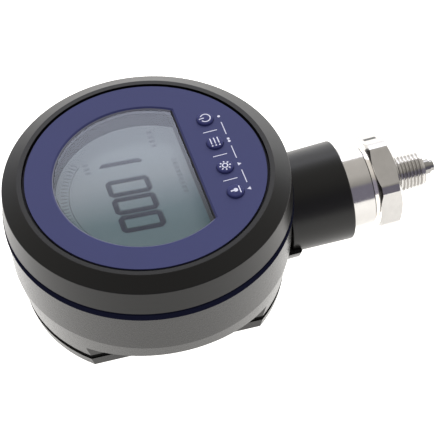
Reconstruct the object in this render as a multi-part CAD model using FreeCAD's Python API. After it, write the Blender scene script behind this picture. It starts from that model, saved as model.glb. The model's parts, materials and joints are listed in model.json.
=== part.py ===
"""Digital pressure gauge lying on its back.

The dial axis is +Z, the pressure connection points along -Y, and the back plane is z = 0.
All sizes are millimetres.
"""

import FreeCAD
import Part
import math
import os

from FreeCAD import Vector

# Clearances
fit_gap = 0.1            # between parts that slip into each other
running_gap = 0.06       # stem in its bearings, on the radius
screw_gap = 0.2          # screw in its through hole, on the radius
thread_gap = 0.05        # screw in its tapped hole, on the radius
cell_gap = 0.3           # round each battery cell

# Rear cover and gasket
cover_thick = 4.0
cover_draft = 0.7        # how much the edge leans in towards the back
cover_inset = 0.2        # cover edge inside the case edge
cover_edge_round = 0.8
gasket_thick = 2.4
gasket_inset = 0.4       # the gasket shows as a dark line

# Rear case
case_radius = 50.4       # at the mouth
case_wall = 2.6
case_wall_height = 16.5  # from the crease up to the mouth
crease_inset = 0.7
taper_height = 13.5      # from the bottom edge up to the crease
taper_inset = 2.6
flat_wall = 6.0          # from the battery pocket out to the two side flats
flat_lean = 2.6          # angle of the flats, which spread towards the neck
flat_height = 5.1
flat_roof_slope = 13.0   # angle of the overhang above the flats, which rises outwards
flat_edge_round = 0.8

# Seal ring and front bezel
seal_height = 3.8
seal_bulge = 0.45        # seal outside the case mouth
seal_edge = 0.6          # bevelled edges of the seal
bezel_overhang = 0.26
bezel_side_height = 9.8
bezel_draft = 0.66
cone_run = 5.54
cone_rise = 3.3
rim_width = 1.66
rim_round = 0.35
spigot_wall = 2.2
spigot_depth = 2.5       # how far the bezel reaches into the case
ledge_width = 2.8
ledge_thick = 1.5

# Front face
face_gap = 1.0           # dark groove round the foil
face_drop = 0.2
foil_thick = 0.5
panel_thick = 2.0
panel_rim_thick = 0.8    # lower rim of the panel, which fills the bezel's recess

# Display window, a disc with one flat side
window_radius = 31.3
window_centre_y = 0.6
window_flat_y = -16.8
bevel_run = 0.9
bevel_depth = 0.8
pane_thick = 1.4
pane_flange = 2.2
pane_seam = 0.3          # between the pane's raised middle and the panel
frame_wall = 3.4         # display frame, outside the window outline
display_depth = 8.2      # from the lower edge of the bevel down to the display
display_thick = 1.8
display_margin = 1.6
backlight_thick = 2.3
backlight_step = 2.5     # backlight clear of the contact strip
strip_margin = 3.4       # contact strip short of the window's corners
strip_width = 2.4
strip_inset = 0.2        # inside the window's flat side

# Boards
board_thick = 1.6
board_rim_gap = 0.9      # main board to the screw bosses of the bezel
board_post_step = 2.35   # posts outside the display frame
board_post_angles = (24.5, 155.5, 204.5, 335.5)
board_post_radius = 2.6
post_root = 0.5          # posts run into the frame's wall
key_board_thick = 1.2
key_board_gap = 1.0      # to the display frame
key_board_rim_gap = 1.2  # to the bezel ledge
key_post_inset = 2.3     # post circle inside the rim of the key board
key_post_gap = 0.1       # between a side post and the pocket of the outer key
key_post_radius = 1.9
key_screw_bite = 0.5     # into the panel
header_size = (16.0, 2.5)
header_drop = 3.6        # below the keys
chip_size = 12.0
chip_height = 1.6
chip_place = (12.0, 14.0)
capacitor_radius = 2.5
capacitor_height = 7.0
capacitor_places = ((-16.0, 12.0), (-9.0, 12.0))
lead_connector_size = (8.0, 5.0, 4.0)
lead_y = -30.0
lead_radius = 1.2
lead_bend = 6.0
lead_end_gap = 0.3

# Keys
key_names = ("light_key", "settings_key", "menu_key", "power_key")
key_drop = 10.0          # below the window's flat side
key_radius = 3.0
key_rise = 1.0           # crown above the foil
key_edge_rise = 0.75     # edge above the foil, before it is rounded
key_edge_round = 0.7
key_travel = 0.4
key_flange = 0.7         # flange wider than the cap
key_web = 4.4            # between two flanges
key_flange_thick = 0.6
key_pocket_gap = 0.3     # round the flange
key_lift_gap = 0.1       # flange under the pocket's roof
key_nub_radius = 1.2
key_nub_length = 0.7
dome_radius = 3.0
dome_height = 0.35
dome_gap = 0.05          # left between nub and dome at full travel

# Screws
case_screw_radius = 1.5
case_screw_bite = 8.0
case_screw_inset = 6.4   # circle inside the case mouth
case_screw_margin = 6.0  # outside the flats
small_screw_radius = 1.0
board_screw_bite = 5.0
cover_screw_radius = 1.5
cover_screw_length = 10.0
cover_screw_inset = 5.6  # from the lower edge of the case
cover_screw_angle = 68.0       # the upper pair on its circle
cover_screw_flat_inset = 5.9   # the lower pair inside the flats
head_ratio = 1.85        # head radius over shank radius
head_height_ratio = 1.3
socket_ratio = 0.85      # corner of the hexagon socket over shank radius
socket_depth_ratio = 0.55      # over head height
screw_edge_ratio = 0.25  # bevelled edges over shank radius
boss_wall = 1.9
boss_roof = 1.0
screw_end_gap = 0.5      # hole deeper than its screw
head_sink = 0.3          # heads below the back of the cover

# Battery pocket, open at the back
cell_radius = 7.25
cell_length = 50.5
cell_nub_radius = 2.75
cell_nub_length = 1.0
cell_edge = 0.5
cell_count = 3
cell_lift = 1.2          # cells above the lower edge of the case
pocket_first_y = -14.0
pocket_wall = 2.0
contact_thick = 0.5
contact_width = 9.0
contact_height = 11.0
spring_space = 7.5
spring_thick = 0.4
spring_width = 5.0
spring_opening = 3.0
pin_radius = 0.5
cover_rib_x = 15.0
cover_rib_thick = 2.0
cover_rib_gap = 1.0

# Neck and stem, with lengths measured along the stem from the dial axis
foot_step = 2.0          # wider than the sleeve
foot_reach = 0.2         # beyond the case mouth
foot_clear = 0.6         # above the surface that the case lies on
foot_chamfer = 0.8
foot_drop = 6.2          # its upper face below the stem axis
sleeve_length = 20.2     # in front of the foot
sleeve_lap = 3.2         # back over the foot
sleeve_wall = 2.6
sleeve_flare = 0.5
sleeve_clear = 0.4       # above the surface that the case lies on
sleeve_end_round = 0.6
sleeve_back_round = 0.4
tube_wall = 4.0
shank_radius = 11.0
journal_radius = 7.0
bearing_boss_wall = 1.6
bearing_inset = 6.4      # inner face of the bearing wall inside the case mouth
bearing_wall = 6.0
collar_step = 0.1        # smaller than the neck tube
collar_length = 9.0
collar_gap = 0.1
collar_chamfer = 0.4
groove_depth = 2.5
groove_width = 1.1
hexagon_flats = 31.0
hexagon_bar_radius = 17.0
hexagon_length = 8.7
hexagon_turn = 86.0      # angle of one corner, from +X towards +Z
hexagon_chamfer = 30.0
thread_radius = 6.58
thread_length = 12.7
relief_width = 2.2
relief_radius = 5.5
thread_chamfer = 1.0
spigot_tip_radius = 2.8
spigot_tip_length = 4.4
spigot_nose_radius = 2.1
spigot_nose_length = 1.6
port_radius = 1.5
oring_wire = 0.85
oring_groove_width = 2.2
oring_place = 8.0        # from the collar back along the shank
washer_thick = 0.7
washer_width = 2.4
ring_thick = 1.0
ring_width = 2.0
ring_groove_depth = 0.6
ring_opening = 4.6
stem_tail = 1.5
swivel_range = 330.0
stop_pin_radius = 0.9
stop_pin_reach = 2.1
stop_pin_seat = 3.0
stop_groove_depth = 2.4
stop_clear = 0.15

# Sensor inside the stem
capsule_radius = 5.0
capsule_length = 4.5
capsule_depth = 12.0     # from the shoulder of the shank
sensor_seal_thick = 1.0
sensor_seal_bore = 3.0
sensor_nut_length = 3.0
sensor_nut_bore = 2.5
sensor_board_inset = 0.8
sensor_board_thick = 1.2
sensor_pin_radius = 0.3
sensor_pin_circle = 1.5
sensor_pin_count = 4

# Battery pocket
cell_pitch = 2 * cell_radius + cell_gap
pocket_last_y = pocket_first_y + cell_count * cell_pitch + cell_gap
pocket_half = (cell_length + spring_space) / 2 + contact_thick
flat_half_width = pocket_half + flat_wall
flat_roof_pitch = math.tan(math.radians(flat_roof_slope))

# Neck radii and the height of the stem axis
tube_radius = shank_radius + tube_wall
sleeve_root_radius = tube_radius + fit_gap + sleeve_wall
sleeve_end_radius = sleeve_root_radius + sleeve_flare
foot_radius = sleeve_root_radius + foot_step
stem_z = sleeve_end_radius + sleeve_clear
collar_radius = tube_radius - collar_step
groove_radius = collar_radius - groove_depth
stop_circle = (shank_radius + running_gap + tube_radius) / 2
washer_radius = journal_radius + washer_width
ring_radius = journal_radius + ring_width
bearing_boss_radius = washer_radius + bearing_boss_wall
sensor_board_radius = journal_radius - sensor_board_inset
oring_floor_radius = shank_radius + running_gap - fit_gap - 2 * oring_wire

# Heights, from the back plane up
case_bottom_z = cover_thick + gasket_thick
flat_top_z = case_bottom_z + flat_height
crease_z = case_bottom_z + taper_height
mouth_z = crease_z + case_wall_height
bezel_foot_z = mouth_z + seal_height
bezel_edge_z = bezel_foot_z + bezel_side_height
rim_z = bezel_edge_z + cone_rise
face_z = rim_z - face_drop
panel_top_z = face_z - foil_thick
panel_bottom_z = panel_top_z - panel_thick
bevel_foot_z = face_z - bevel_depth
pane_bottom_z = panel_bottom_z - pane_thick
display_top_z = bevel_foot_z - display_depth
display_bottom_z = display_top_z - display_thick
board_top_z = display_bottom_z - backlight_thick - fit_gap
board_bottom_z = board_top_z - board_thick
spigot_foot_z = mouth_z - spigot_depth
cavity_floor_z = case_bottom_z + case_wall
case_screw_seat_z = flat_top_z + case_wall + case_screw_margin * flat_roof_pitch
cover_head_z = head_sink + head_height_ratio * cover_screw_radius
cover_hole_z = cover_head_z + cover_screw_length + screw_end_gap

# Radii about the dial axis
crease_radius = case_radius - crease_inset
bottom_radius = crease_radius - taper_inset
bezel_foot_radius = case_radius + bezel_overhang
bezel_edge_radius = bezel_foot_radius - bezel_draft
rim_radius = bezel_edge_radius - cone_run
recess_radius = rim_radius - rim_width
face_radius = recess_radius - face_gap
ledge_bore = recess_radius - ledge_width
mouth_slope = crease_inset / case_wall_height
spigot_radius = case_radius - case_wall - mouth_slope * spigot_depth - fit_gap
spigot_bore = spigot_radius - spigot_wall
key_board_radius = ledge_bore - key_board_rim_gap

# Places under the window and of the keys
window_half_flat = math.sqrt(window_radius ** 2 - (window_flat_y - window_centre_y) ** 2)
strip_length = 2 * (window_half_flat - strip_margin)
strip_y = window_flat_y + strip_inset
backlight_flat_y = strip_y + strip_width / 2 + backlight_step
key_board_edge_y = window_flat_y - frame_wall - key_board_gap
key_y = window_flat_y - key_drop
key_pitch = 2 * (key_radius + key_flange) + key_web
key_xs = [(i - (len(key_names) - 1) / 2) * key_pitch for i in range(len(key_names))]
key_pocket_radius = key_radius + key_flange + key_pocket_gap
header_y = key_y - header_drop

# Key heights
key_flange_top_z = panel_bottom_z + key_flange_thick + key_travel + fit_gap
key_flange_bottom_z = key_flange_top_z - key_flange_thick
key_nub_z = key_flange_bottom_z - key_nub_length
key_pocket_z = key_flange_top_z + key_lift_gap
key_board_top_z = key_nub_z - key_travel - dome_gap - dome_height
key_board_bottom_z = key_board_top_z - key_board_thick

# Stations along the stem
bearing_inner = case_radius - bearing_inset
foot_end = case_radius + foot_reach
sleeve_start = foot_end - sleeve_lap
tube_end = foot_end + sleeve_length
shoulder = bearing_inner + bearing_wall
collar_start = tube_end + collar_gap
collar_end = collar_start + collar_length
hexagon_start = collar_end + groove_width
hexagon_end = hexagon_start + hexagon_length
thread_end = hexagon_end + thread_length
spigot_tip = thread_end + spigot_tip_length
washer_end = bearing_inner - fit_gap
washer_start = washer_end - washer_thick
ring_end = washer_start - fit_gap
ring_start = ring_end - ring_thick
stem_start = ring_start - stem_tail
oring_start = collar_start - oring_place - oring_groove_width
capsule_seat = shoulder + capsule_depth
capsule_end = capsule_seat - sensor_seal_thick
capsule_start = capsule_end - capsule_length
sensor_nut_start = capsule_start - sensor_nut_length
sensor_board_start = stem_start - sensor_board_thick

# Battery places
cell_z = case_bottom_z + cell_radius + cell_lift
pocket_roof_z = cell_z + cell_radius + cell_gap
cell_ys = [pocket_first_y + cell_gap + cell_radius + i * cell_pitch for i in range(cell_count)]
cell_signs = [-1 if i % 2 == 0 else 1 for i in range(cell_count)]

big = 200.0

os.makedirs("parts", exist_ok=True)


def turned(profile):
    """Solid of revolution about Z of a closed outline of (radius, height) points."""
    corners = [Vector(radius, 0, height) for radius, height in profile]
    face = Part.Face(Part.makePolygon(corners + corners[:1]))
    return face.revolve(Vector(0, 0, 0), Vector(0, 0, 1), 360)


def tube(outer, inner, low, high):
    """Plain ring about Z."""
    return turned([(inner, low), (outer, low), (outer, high), (inner, high)])


def rod(radius, low, high, x=0, y=0):
    """Upright round bar."""
    return Part.makeCylinder(radius, high - low, Vector(x, y, low))


def block(x0, x1, y0, y1, z0, z1):
    """Box between two corners."""
    return Part.makeBox(x1 - x0, y1 - y0, z1 - z0, Vector(x0, y0, z0))


def on_stem(shape):
    """Turns a shape made about Z so that its height runs along the stem."""
    shape.rotate(Vector(0, 0, 0), Vector(1, 0, 0), 90)
    shape.translate(Vector(0, 0, stem_z))
    return shape


def rounded(shape, radius, chosen):
    """Rounds the edges that the test picks."""
    return shape.makeFillet(radius, [edge for edge in shape.Edges if chosen(edge)])


def at_height(z):
    """Edge test: the whole edge lies at one height."""
    def chosen(edge):
        box = edge.BoundBox
        return abs(box.ZMin - z) < 1e-4 and abs(box.ZMax - z) < 1e-4
    return chosen


def circle_at(radius, z):
    """Edge test: a circle about Z of that radius and height."""
    level = at_height(z)
    return lambda edge: level(edge) and abs(edge.BoundBox.XMax - radius) < 1e-4


def save(name, shape):
    """Writes one piece, or a group of separate equal solids."""
    shape.exportStep("parts/" + name + ".step")


def save_group(name, shapes):
    """Writes separate solids as one group."""
    save(name, Part.makeCompound(shapes))


def hexagon(flats, low, high, turn=0):
    """Upright hexagonal bar with one corner at the given angle."""
    corner = flats / math.sqrt(3)
    angles = [math.radians(turn + 60 * i) for i in range(6)]
    points = [Vector(corner * math.cos(a), corner * math.sin(a), low) for a in angles]
    return Part.Face(Part.makePolygon(points + points[:1])).extrude(Vector(0, 0, high - low))


def screw(radius, length):
    """Cap screw pointing up, with the underside of its head at the origin."""
    head_height = head_height_ratio * radius
    head_radius = head_ratio * radius
    edge = screw_edge_ratio * radius
    body = turned([
        (0, -head_height),
        (head_radius - edge, -head_height),
        (head_radius, edge - head_height),
        (head_radius, 0),
        (radius, 0),
        (radius, length - 2 * edge),
        (radius - edge, length),
        (0, length),
    ])
    socket_flats = socket_ratio * radius * math.sqrt(3)
    socket_floor = (socket_depth_ratio - 1) * head_height
    return body.cut(hexagon(socket_flats, -head_height, socket_floor))


def window_outline(offset, z):
    """Outline of the window, grown by an offset: an arc closed by a straight lower side."""
    radius = window_radius + offset
    flat = window_flat_y - offset
    half = math.sqrt(radius ** 2 - (flat - window_centre_y) ** 2)
    right = Vector(half, flat, z)
    left = Vector(-half, flat, z)
    arc = Part.Arc(right, Vector(0, window_centre_y + radius, z), left)
    return Part.Wire([arc.toShape(), Part.LineSegment(left, right).toShape()])


def window_plate(offset, low, high):
    """Plate with the window's outline."""
    return Part.Face(window_outline(offset, low)).extrude(Vector(0, 0, high - low))


def window_bevel():
    """Sloping cut that leads down to the window, drawn half as deep again so that it passes the face."""
    past = 1.5
    top = window_outline(bevel_run * past, bevel_foot_z + bevel_depth * past)
    return Part.makeLoft([window_outline(0, bevel_foot_z), top], True, True)


def beyond_flats(inset, low, high):
    """The space beside the two side flats, grown by an inset."""
    side = flat_half_width - inset
    rise = (big - side) * flat_roof_pitch
    corners = [Vector(x, -big, z) for x, z in ((side, low), (big, low), (big, high + rise), (side, high))]
    right = Part.Face(Part.makePolygon(corners + corners[:1])).extrude(Vector(0, 2 * big, 0))
    right.rotate(Vector(side, 0, 0), Vector(0, 0, 1), flat_lean)
    return right.fuse(right.mirror(Vector(0, 0, 0), Vector(1, 0, 0)))


def case_form(inset, floor):
    """Form of the rear case with its two side flats, shrunk by an inset."""
    form = turned([
        (0, floor),
        (bottom_radius - inset, floor),
        (crease_radius - inset, crease_z),
        (case_radius - inset, mouth_z),
        (0, mouth_z),
    ])
    return form.cut(beyond_flats(inset, -big, flat_top_z + inset))


def cover_form(inset, low, high, draft=0):
    """Plate with the outline of the lower block, leaning in by a draft towards its lower face."""
    radius = bottom_radius - cover_inset - inset
    plate = turned([(0, low), (radius - draft, low), (radius, high), (0, high)])
    return plate.cut(beyond_flats(cover_inset + inset, low, high))


def cover_screw_points():
    """Places of the cover screws on their circle: an upper pair, and a lower pair beside the flats."""
    circle = bottom_radius - cover_screw_inset
    angle = math.radians(cover_screw_angle)
    upper_x, upper_y = circle * math.cos(angle), circle * math.sin(angle)
    lower_x = flat_half_width - cover_screw_flat_inset
    lower_y = -math.sqrt(circle ** 2 - lower_x ** 2)
    return [(upper_x, upper_y), (-upper_x, upper_y), (-lower_x, lower_y), (lower_x, lower_y)]


def case_screw_points():
    """Places of the case screws, under the overhang beside the flats."""
    x = flat_half_width + case_screw_margin
    y = math.sqrt((case_radius - case_screw_inset) ** 2 - x ** 2)
    return [(x, y), (-x, y), (-x, -y), (x, -y)]


def board_post_points():
    """Places of the posts that carry the main board, on a circle round the display frame."""
    circle = window_radius + frame_wall + board_post_step
    angles = [math.radians(a) for a in board_post_angles]
    return [(circle * math.cos(a), window_centre_y + circle * math.sin(a)) for a in angles]


def key_post_points():
    """Places of the key board's posts on one circle: one turned clear of each outer key, one between."""
    circle = key_board_radius - key_post_inset
    reach = key_pocket_radius + key_post_gap + key_post_radius
    outer = math.hypot(key_xs[-1], key_y)
    turn = 2 * math.asin(reach / (2 * math.sqrt(circle * outer)))
    angle = math.atan2(key_y, key_xs[-1]) + turn
    x, y = circle * math.cos(angle), circle * math.sin(angle)
    return [(-x, y), (x, y), (0, -circle)]


def cap_radius(half_width, rise):
    """Radius of a shallow round cap."""
    return (half_width ** 2 + rise ** 2) / (2 * rise)


def make_front_bezel():
    """Dark ring with a flat rim, a sloping cone, a spigot and four screw bosses."""
    bezel = turned([
        (recess_radius, rim_z),
        (rim_radius, rim_z),
        (bezel_edge_radius, bezel_edge_z),
        (bezel_foot_radius, bezel_foot_z),
        (spigot_radius, bezel_foot_z),
        (spigot_radius, spigot_foot_z),
        (spigot_bore, spigot_foot_z),
        (spigot_bore, panel_bottom_z - ledge_thick),
        (ledge_bore, panel_bottom_z - ledge_thick),
        (ledge_bore, panel_bottom_z),
        (recess_radius, panel_bottom_z),
    ])
    bezel = rounded(bezel, rim_round, circle_at(rim_radius, rim_z))
    bezel = rounded(bezel, rim_round, circle_at(bezel_edge_radius, bezel_edge_z))
    bite_end = spigot_foot_z + case_screw_bite + screw_end_gap
    for x, y in case_screw_points():
        boss = rod(case_screw_radius + boss_wall, spigot_foot_z, panel_bottom_z - ledge_thick, x, y)
        bezel = bezel.fuse(boss.common(rod(spigot_radius, -big, big)))
        bezel = bezel.cut(rod(case_screw_radius + thread_gap, spigot_foot_z, bite_end, x, y))
    save("front_bezel", bezel.removeSplitter())


def key_holes(low, high, radius):
    """Round cuts at the four keys."""
    return Part.makeCompound([rod(radius, low, high, x, key_y) for x in key_xs])


def make_front_panel():
    """Moulded carrier under the foil, with the window, the key guides and posts for the key board."""
    rim_top_z = panel_bottom_z + panel_rim_thick
    panel = rod(recess_radius - fit_gap, panel_bottom_z, rim_top_z)
    panel = panel.fuse(rod(face_radius, rim_top_z, panel_top_z))
    panel = panel.cut(window_plate(0, panel_bottom_z, bevel_foot_z)).cut(window_bevel())
    panel = panel.cut(key_holes(panel_bottom_z, panel_top_z, key_radius + fit_gap))
    panel = panel.cut(key_holes(panel_bottom_z, key_pocket_z, key_pocket_radius))
    hole_end = panel_bottom_z + key_screw_bite + screw_end_gap
    for x, y in key_post_points():
        panel = panel.fuse(rod(key_post_radius, key_board_top_z, panel_bottom_z, x, y))
        panel = panel.cut(rod(small_screw_radius + thread_gap, key_board_top_z, hole_end, x, y))
    save("front_panel", panel.removeSplitter())


def make_keypad_foil():
    """Thin printed face with the window and key openings."""
    foil = rod(face_radius, panel_top_z, face_z).cut(window_bevel())
    save("keypad_foil", foil.cut(key_holes(panel_top_z, face_z, key_radius + fit_gap)))


def make_keys():
    """Four crowned round keys, each with a flange that keeps it in and a nub that presses its dome."""
    crown_z = face_z + key_rise
    edge_z = face_z + key_edge_rise
    middle = key_radius / 2
    ball = cap_radius(key_radius, crown_z - edge_z)
    crown = Part.Arc(
        Vector(0, 0, crown_z),
        Vector(middle, 0, crown_z - ball + math.sqrt(ball ** 2 - middle ** 2)),
        Vector(key_radius, 0, edge_z),
    )
    flange_radius = key_radius + key_flange
    side = Part.makePolygon([
        Vector(key_radius, 0, edge_z),
        Vector(key_radius, 0, key_flange_top_z),
        Vector(flange_radius, 0, key_flange_top_z),
        Vector(flange_radius, 0, key_flange_bottom_z),
        Vector(key_nub_radius, 0, key_flange_bottom_z),
        Vector(key_nub_radius, 0, key_nub_z),
        Vector(0, 0, key_nub_z),
        Vector(0, 0, crown_z),
    ])
    outline = Part.Wire([crown.toShape()] + side.Edges)
    key = Part.Face(outline).revolve(Vector(0, 0, 0), Vector(0, 0, 1), 360)
    key = rounded(key, key_edge_round, circle_at(key_radius, edge_z))
    for name, x in zip(key_names, key_xs):
        save(name, key.translated(Vector(x, key_y, 0)))


def make_key_board():
    """Small board under the keys with its domes, screws and the header down to the main board."""
    board = rod(key_board_radius, key_board_bottom_z, key_board_top_z)
    board = board.common(block(-big, big, -big, key_board_edge_y, -big, big))
    screws = []
    for x, y in key_post_points():
        board = board.cut(rod(small_screw_radius + screw_gap, -big, big, x, y))
        fixing = screw(small_screw_radius, panel_bottom_z + key_screw_bite - key_board_bottom_z)
        screws.append(fixing.translated(Vector(x, y, key_board_bottom_z)))
    save("key_board", board)
    save_group("key_board_screws", screws)
    radius = cap_radius(dome_radius, dome_height)
    dome_top_z = key_board_top_z + dome_height
    ball = Part.makeSphere(radius, Vector(0, 0, dome_top_z - radius))
    dome = ball.common(rod(dome_radius, key_board_top_z, dome_top_z))
    save_group("key_domes", [dome.translated(Vector(x, key_y, 0)) for x in key_xs])
    length, width = header_size
    save("key_board_header", block(-length / 2, length / 2, header_y - width / 2, header_y + width / 2,
                                   board_top_z, key_board_bottom_z))


def make_window_pane():
    """Clear pane whose raised middle fills the window and whose flange sits under the panel."""
    flange = window_plate(pane_flange, pane_bottom_z, panel_bottom_z)
    middle = window_plate(-pane_seam, panel_bottom_z, bevel_foot_z - fit_gap)
    save("window_pane", flange.fuse(middle).removeSplitter())


def make_lcd_frame():
    """Light surround that carries pane, display and main board, with four ears for the board screws."""
    frame = window_plate(frame_wall, display_bottom_z, panel_bottom_z)
    frame = frame.cut(window_plate(pane_flange + fit_gap, pane_bottom_z, panel_bottom_z))
    frame = frame.cut(window_plate(0, display_bottom_z, pane_bottom_z))
    frame = frame.cut(window_plate(display_margin + fit_gap, display_bottom_z, display_top_z))
    hole_end = board_top_z + board_screw_bite + screw_end_gap
    for x, y in board_post_points():
        post = rod(board_post_radius, board_top_z, pane_bottom_z, x, y)
        post = post.cut(window_plate(frame_wall - post_root, board_top_z, pane_bottom_z))
        frame = frame.fuse(post)
        frame = frame.cut(rod(small_screw_radius + thread_gap, board_top_z, hole_end, x, y))
    save("lcd_frame", frame.removeSplitter())


def make_display():
    """Display glass, its backlight and the contact strip beside it."""
    save("lcd_glass", window_plate(display_margin, display_bottom_z, display_top_z))
    light_top = display_bottom_z
    light = window_plate(display_margin, light_top - backlight_thick, light_top)
    light = light.common(block(-big, big, backlight_flat_y, big, -big, big))
    light.translate(Vector(0, 0, -fit_gap))
    save("backlight_panel", light)
    save("contact_strip", block(-strip_length / 2, strip_length / 2, strip_y - strip_width / 2,
                                strip_y + strip_width / 2, board_top_z, display_bottom_z))


def main_board_radius():
    """The main board stays clear of the screw bosses."""
    return case_radius - case_screw_inset - case_screw_radius - boss_wall - board_rim_gap


def make_main_board():
    """Round board under the display with its screws and its larger components."""
    board = rod(main_board_radius(), board_bottom_z, board_top_z)
    screws = []
    for x, y in board_post_points():
        board = board.cut(rod(small_screw_radius + screw_gap, -big, big, x, y))
        fixing = screw(small_screw_radius, board_thick + board_screw_bite)
        screws.append(fixing.translated(Vector(x, y, board_bottom_z)))
    save("main_board", board)
    save_group("board_screws", screws)
    x, y = chip_place
    half = chip_size / 2
    save("controller_chip", block(x - half, x + half, y - half, y + half,
                                  board_bottom_z - chip_height, board_bottom_z))
    can = rod(capacitor_radius, board_bottom_z - capacitor_height, board_bottom_z)
    save_group("buffer_capacitors", [can.translated(Vector(cx, cy, 0)) for cx, cy in capacitor_places])


def make_sensor_lead():
    """Connector under the main board and the round lead that bends from it to the stem axis."""
    length, width, height = lead_connector_size
    plug_z = board_bottom_z - height
    save("lead_connector", block(-length / 2, length / 2, lead_y - width / 2, lead_y + width / 2,
                                 plug_z, board_bottom_z))
    end_y = -(sensor_board_start - lead_end_gap)
    top = Vector(0, lead_y, plug_z)
    bend_top = Vector(0, lead_y, stem_z + lead_bend)
    side = lead_bend * (1 - math.sqrt(0.5))
    bend_middle = Vector(0, lead_y - side, stem_z + side)
    bend_end = Vector(0, lead_y - lead_bend, stem_z)
    end = Vector(0, end_y, stem_z)
    path = Part.Wire([
        Part.LineSegment(top, bend_top).toShape(),
        Part.Arc(bend_top, bend_middle, bend_end).toShape(),
        Part.LineSegment(bend_end, end).toShape(),
    ])
    section = Part.Wire([Part.Circle(top, Vector(0, 0, 1), lead_radius).toShape()])
    save("sensor_lead", path.makePipeShell([section], True, False))


def make_seal_ring():
    """Blue ring clamped between bezel and case that stands out a little from both."""
    inner = spigot_radius + fit_gap
    outer = case_radius + seal_bulge
    save("seal_ring", turned([
        (inner, mouth_z),
        (outer - seal_edge, mouth_z),
        (outer, mouth_z + seal_edge),
        (outer, bezel_foot_z - seal_edge),
        (outer - seal_edge, bezel_foot_z),
        (inner, bezel_foot_z),
    ]))


def stop_groove():
    """Curved groove in the end of the neck tube that the stop pin runs in."""
    half_pin = math.degrees(math.asin((stop_pin_radius + stop_clear) / stop_circle))
    sweep = swivel_range + 2 * half_pin
    low = tube_end - stop_groove_depth
    outer = stop_circle + stop_pin_radius + stop_clear
    inner = stop_circle - stop_pin_radius - stop_clear
    groove = Part.makeCylinder(outer, stop_groove_depth, Vector(0, 0, low), Vector(0, 0, 1), sweep)
    groove = groove.cut(rod(inner, low, tube_end))
    groove.rotate(Vector(0, 0, 0), Vector(0, 0, 1), 90 - sweep / 2)
    return on_stem(groove)


def neck():
    """Neck tube with a low round foot, flat underneath and hollowed for the end of the sleeve."""
    foot = on_stem(turned([
        (0, bearing_inner),
        (foot_radius, bearing_inner),
        (foot_radius, foot_end - foot_chamfer),
        (foot_radius - foot_chamfer, foot_end),
        (0, foot_end),
    ]))
    foot = foot.common(block(-big, big, -big, big, foot_clear, stem_z - foot_drop))
    foot = foot.cut(on_stem(rod(sleeve_root_radius + fit_gap, sleeve_start - fit_gap, big)))
    foot = foot.fuse(on_stem(rod(tube_radius, bearing_inner, tube_end)))
    return foot.cut(rod(bottom_radius, -big, case_bottom_z))


def make_rear_case():
    """Cast rear case: tapered shell with flats, battery pocket, screw columns, foot and neck tube."""
    case = case_form(0, case_bottom_z)
    case = rounded(case, flat_edge_round, at_height(flat_top_z))
    case = case.fuse(neck())

    cavity = case_form(case_wall, cavity_floor_z)
    cavity = cavity.cut(block(-flat_half_width, flat_half_width, pocket_first_y - pocket_wall,
                              pocket_last_y + pocket_wall, -big, pocket_roof_z + pocket_wall))
    cavity = cavity.cut(on_stem(rod(bearing_boss_radius, bearing_inner, foot_end)))
    boss_radius = cover_screw_radius + boss_wall
    for x, y in cover_screw_points():
        cavity = cavity.cut(rod(boss_radius, -big, cover_hole_z + boss_roof, x, y))
    for x, y in case_screw_points():
        cavity = cavity.cut(rod(boss_radius, -big, spigot_foot_z, x, y))
    case = case.cut(cavity)

    case = case.cut(block(-pocket_half, pocket_half, pocket_first_y, pocket_last_y, -big, pocket_roof_z))
    for x, y in cover_screw_points():
        case = case.cut(rod(cover_screw_radius + thread_gap, case_bottom_z, cover_hole_z, x, y))
    for x, y in case_screw_points():
        case = case.cut(rod(case_screw_radius + screw_gap, -big, spigot_foot_z, x, y))
        case = case.cut(rod(head_ratio * case_screw_radius + screw_gap, -big, case_screw_seat_z, x, y))
    for x, y in battery_pin_points():
        case = case.cut(rod(pin_radius + screw_gap, pocket_roof_z, pocket_roof_z + pocket_wall, x, y))
    case = case.cut(on_stem(rod(journal_radius + running_gap, bearing_inner, shoulder)))
    case = case.cut(on_stem(rod(shank_radius + running_gap, shoulder, tube_end)))
    save("rear_case", case.cut(stop_groove()).removeSplitter())


def make_case_screws():
    """Four long screws from the overhang up into the bezel."""
    fixing = screw(case_screw_radius, spigot_foot_z + case_screw_bite - case_screw_seat_z)
    fixing.translate(Vector(0, 0, case_screw_seat_z))
    save_group("case_screws", [fixing.translated(Vector(x, y, 0)) for x, y in case_screw_points()])


def make_rear_cover():
    """Screwed cover with its gasket, screws and the ribs that keep the cells up."""
    cover = cover_form(0, 0, cover_thick, cover_draft)
    cover = rounded(cover, cover_edge_round, at_height(0))
    gasket = cover_form(gasket_inset, cover_thick, case_bottom_z)
    gasket = gasket.cut(block(-pocket_half, pocket_half, pocket_first_y, pocket_last_y, -big, big))
    rib_top = cell_z - cell_radius - cell_gap
    for side in (1, -1):
        x = side * cover_rib_x
        cover = cover.fuse(block(x - cover_rib_thick / 2, x + cover_rib_thick / 2,
                                 pocket_first_y + cover_rib_gap, pocket_last_y - cover_rib_gap,
                                 cover_thick, rib_top))
    screws = []
    for x, y in cover_screw_points():
        cover = cover.cut(rod(cover_screw_radius + screw_gap, -big, big, x, y))
        cover = cover.cut(rod(head_ratio * cover_screw_radius + screw_gap, -big, cover_head_z, x, y))
        gasket = gasket.cut(rod(cover_screw_radius + screw_gap, -big, big, x, y))
        fixing = screw(cover_screw_radius, cover_screw_length)
        screws.append(fixing.translated(Vector(x, y, cover_head_z)))
    save("rear_cover", cover.removeSplitter())
    save("cover_gasket", gasket)
    save_group("cover_screws", screws)


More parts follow.
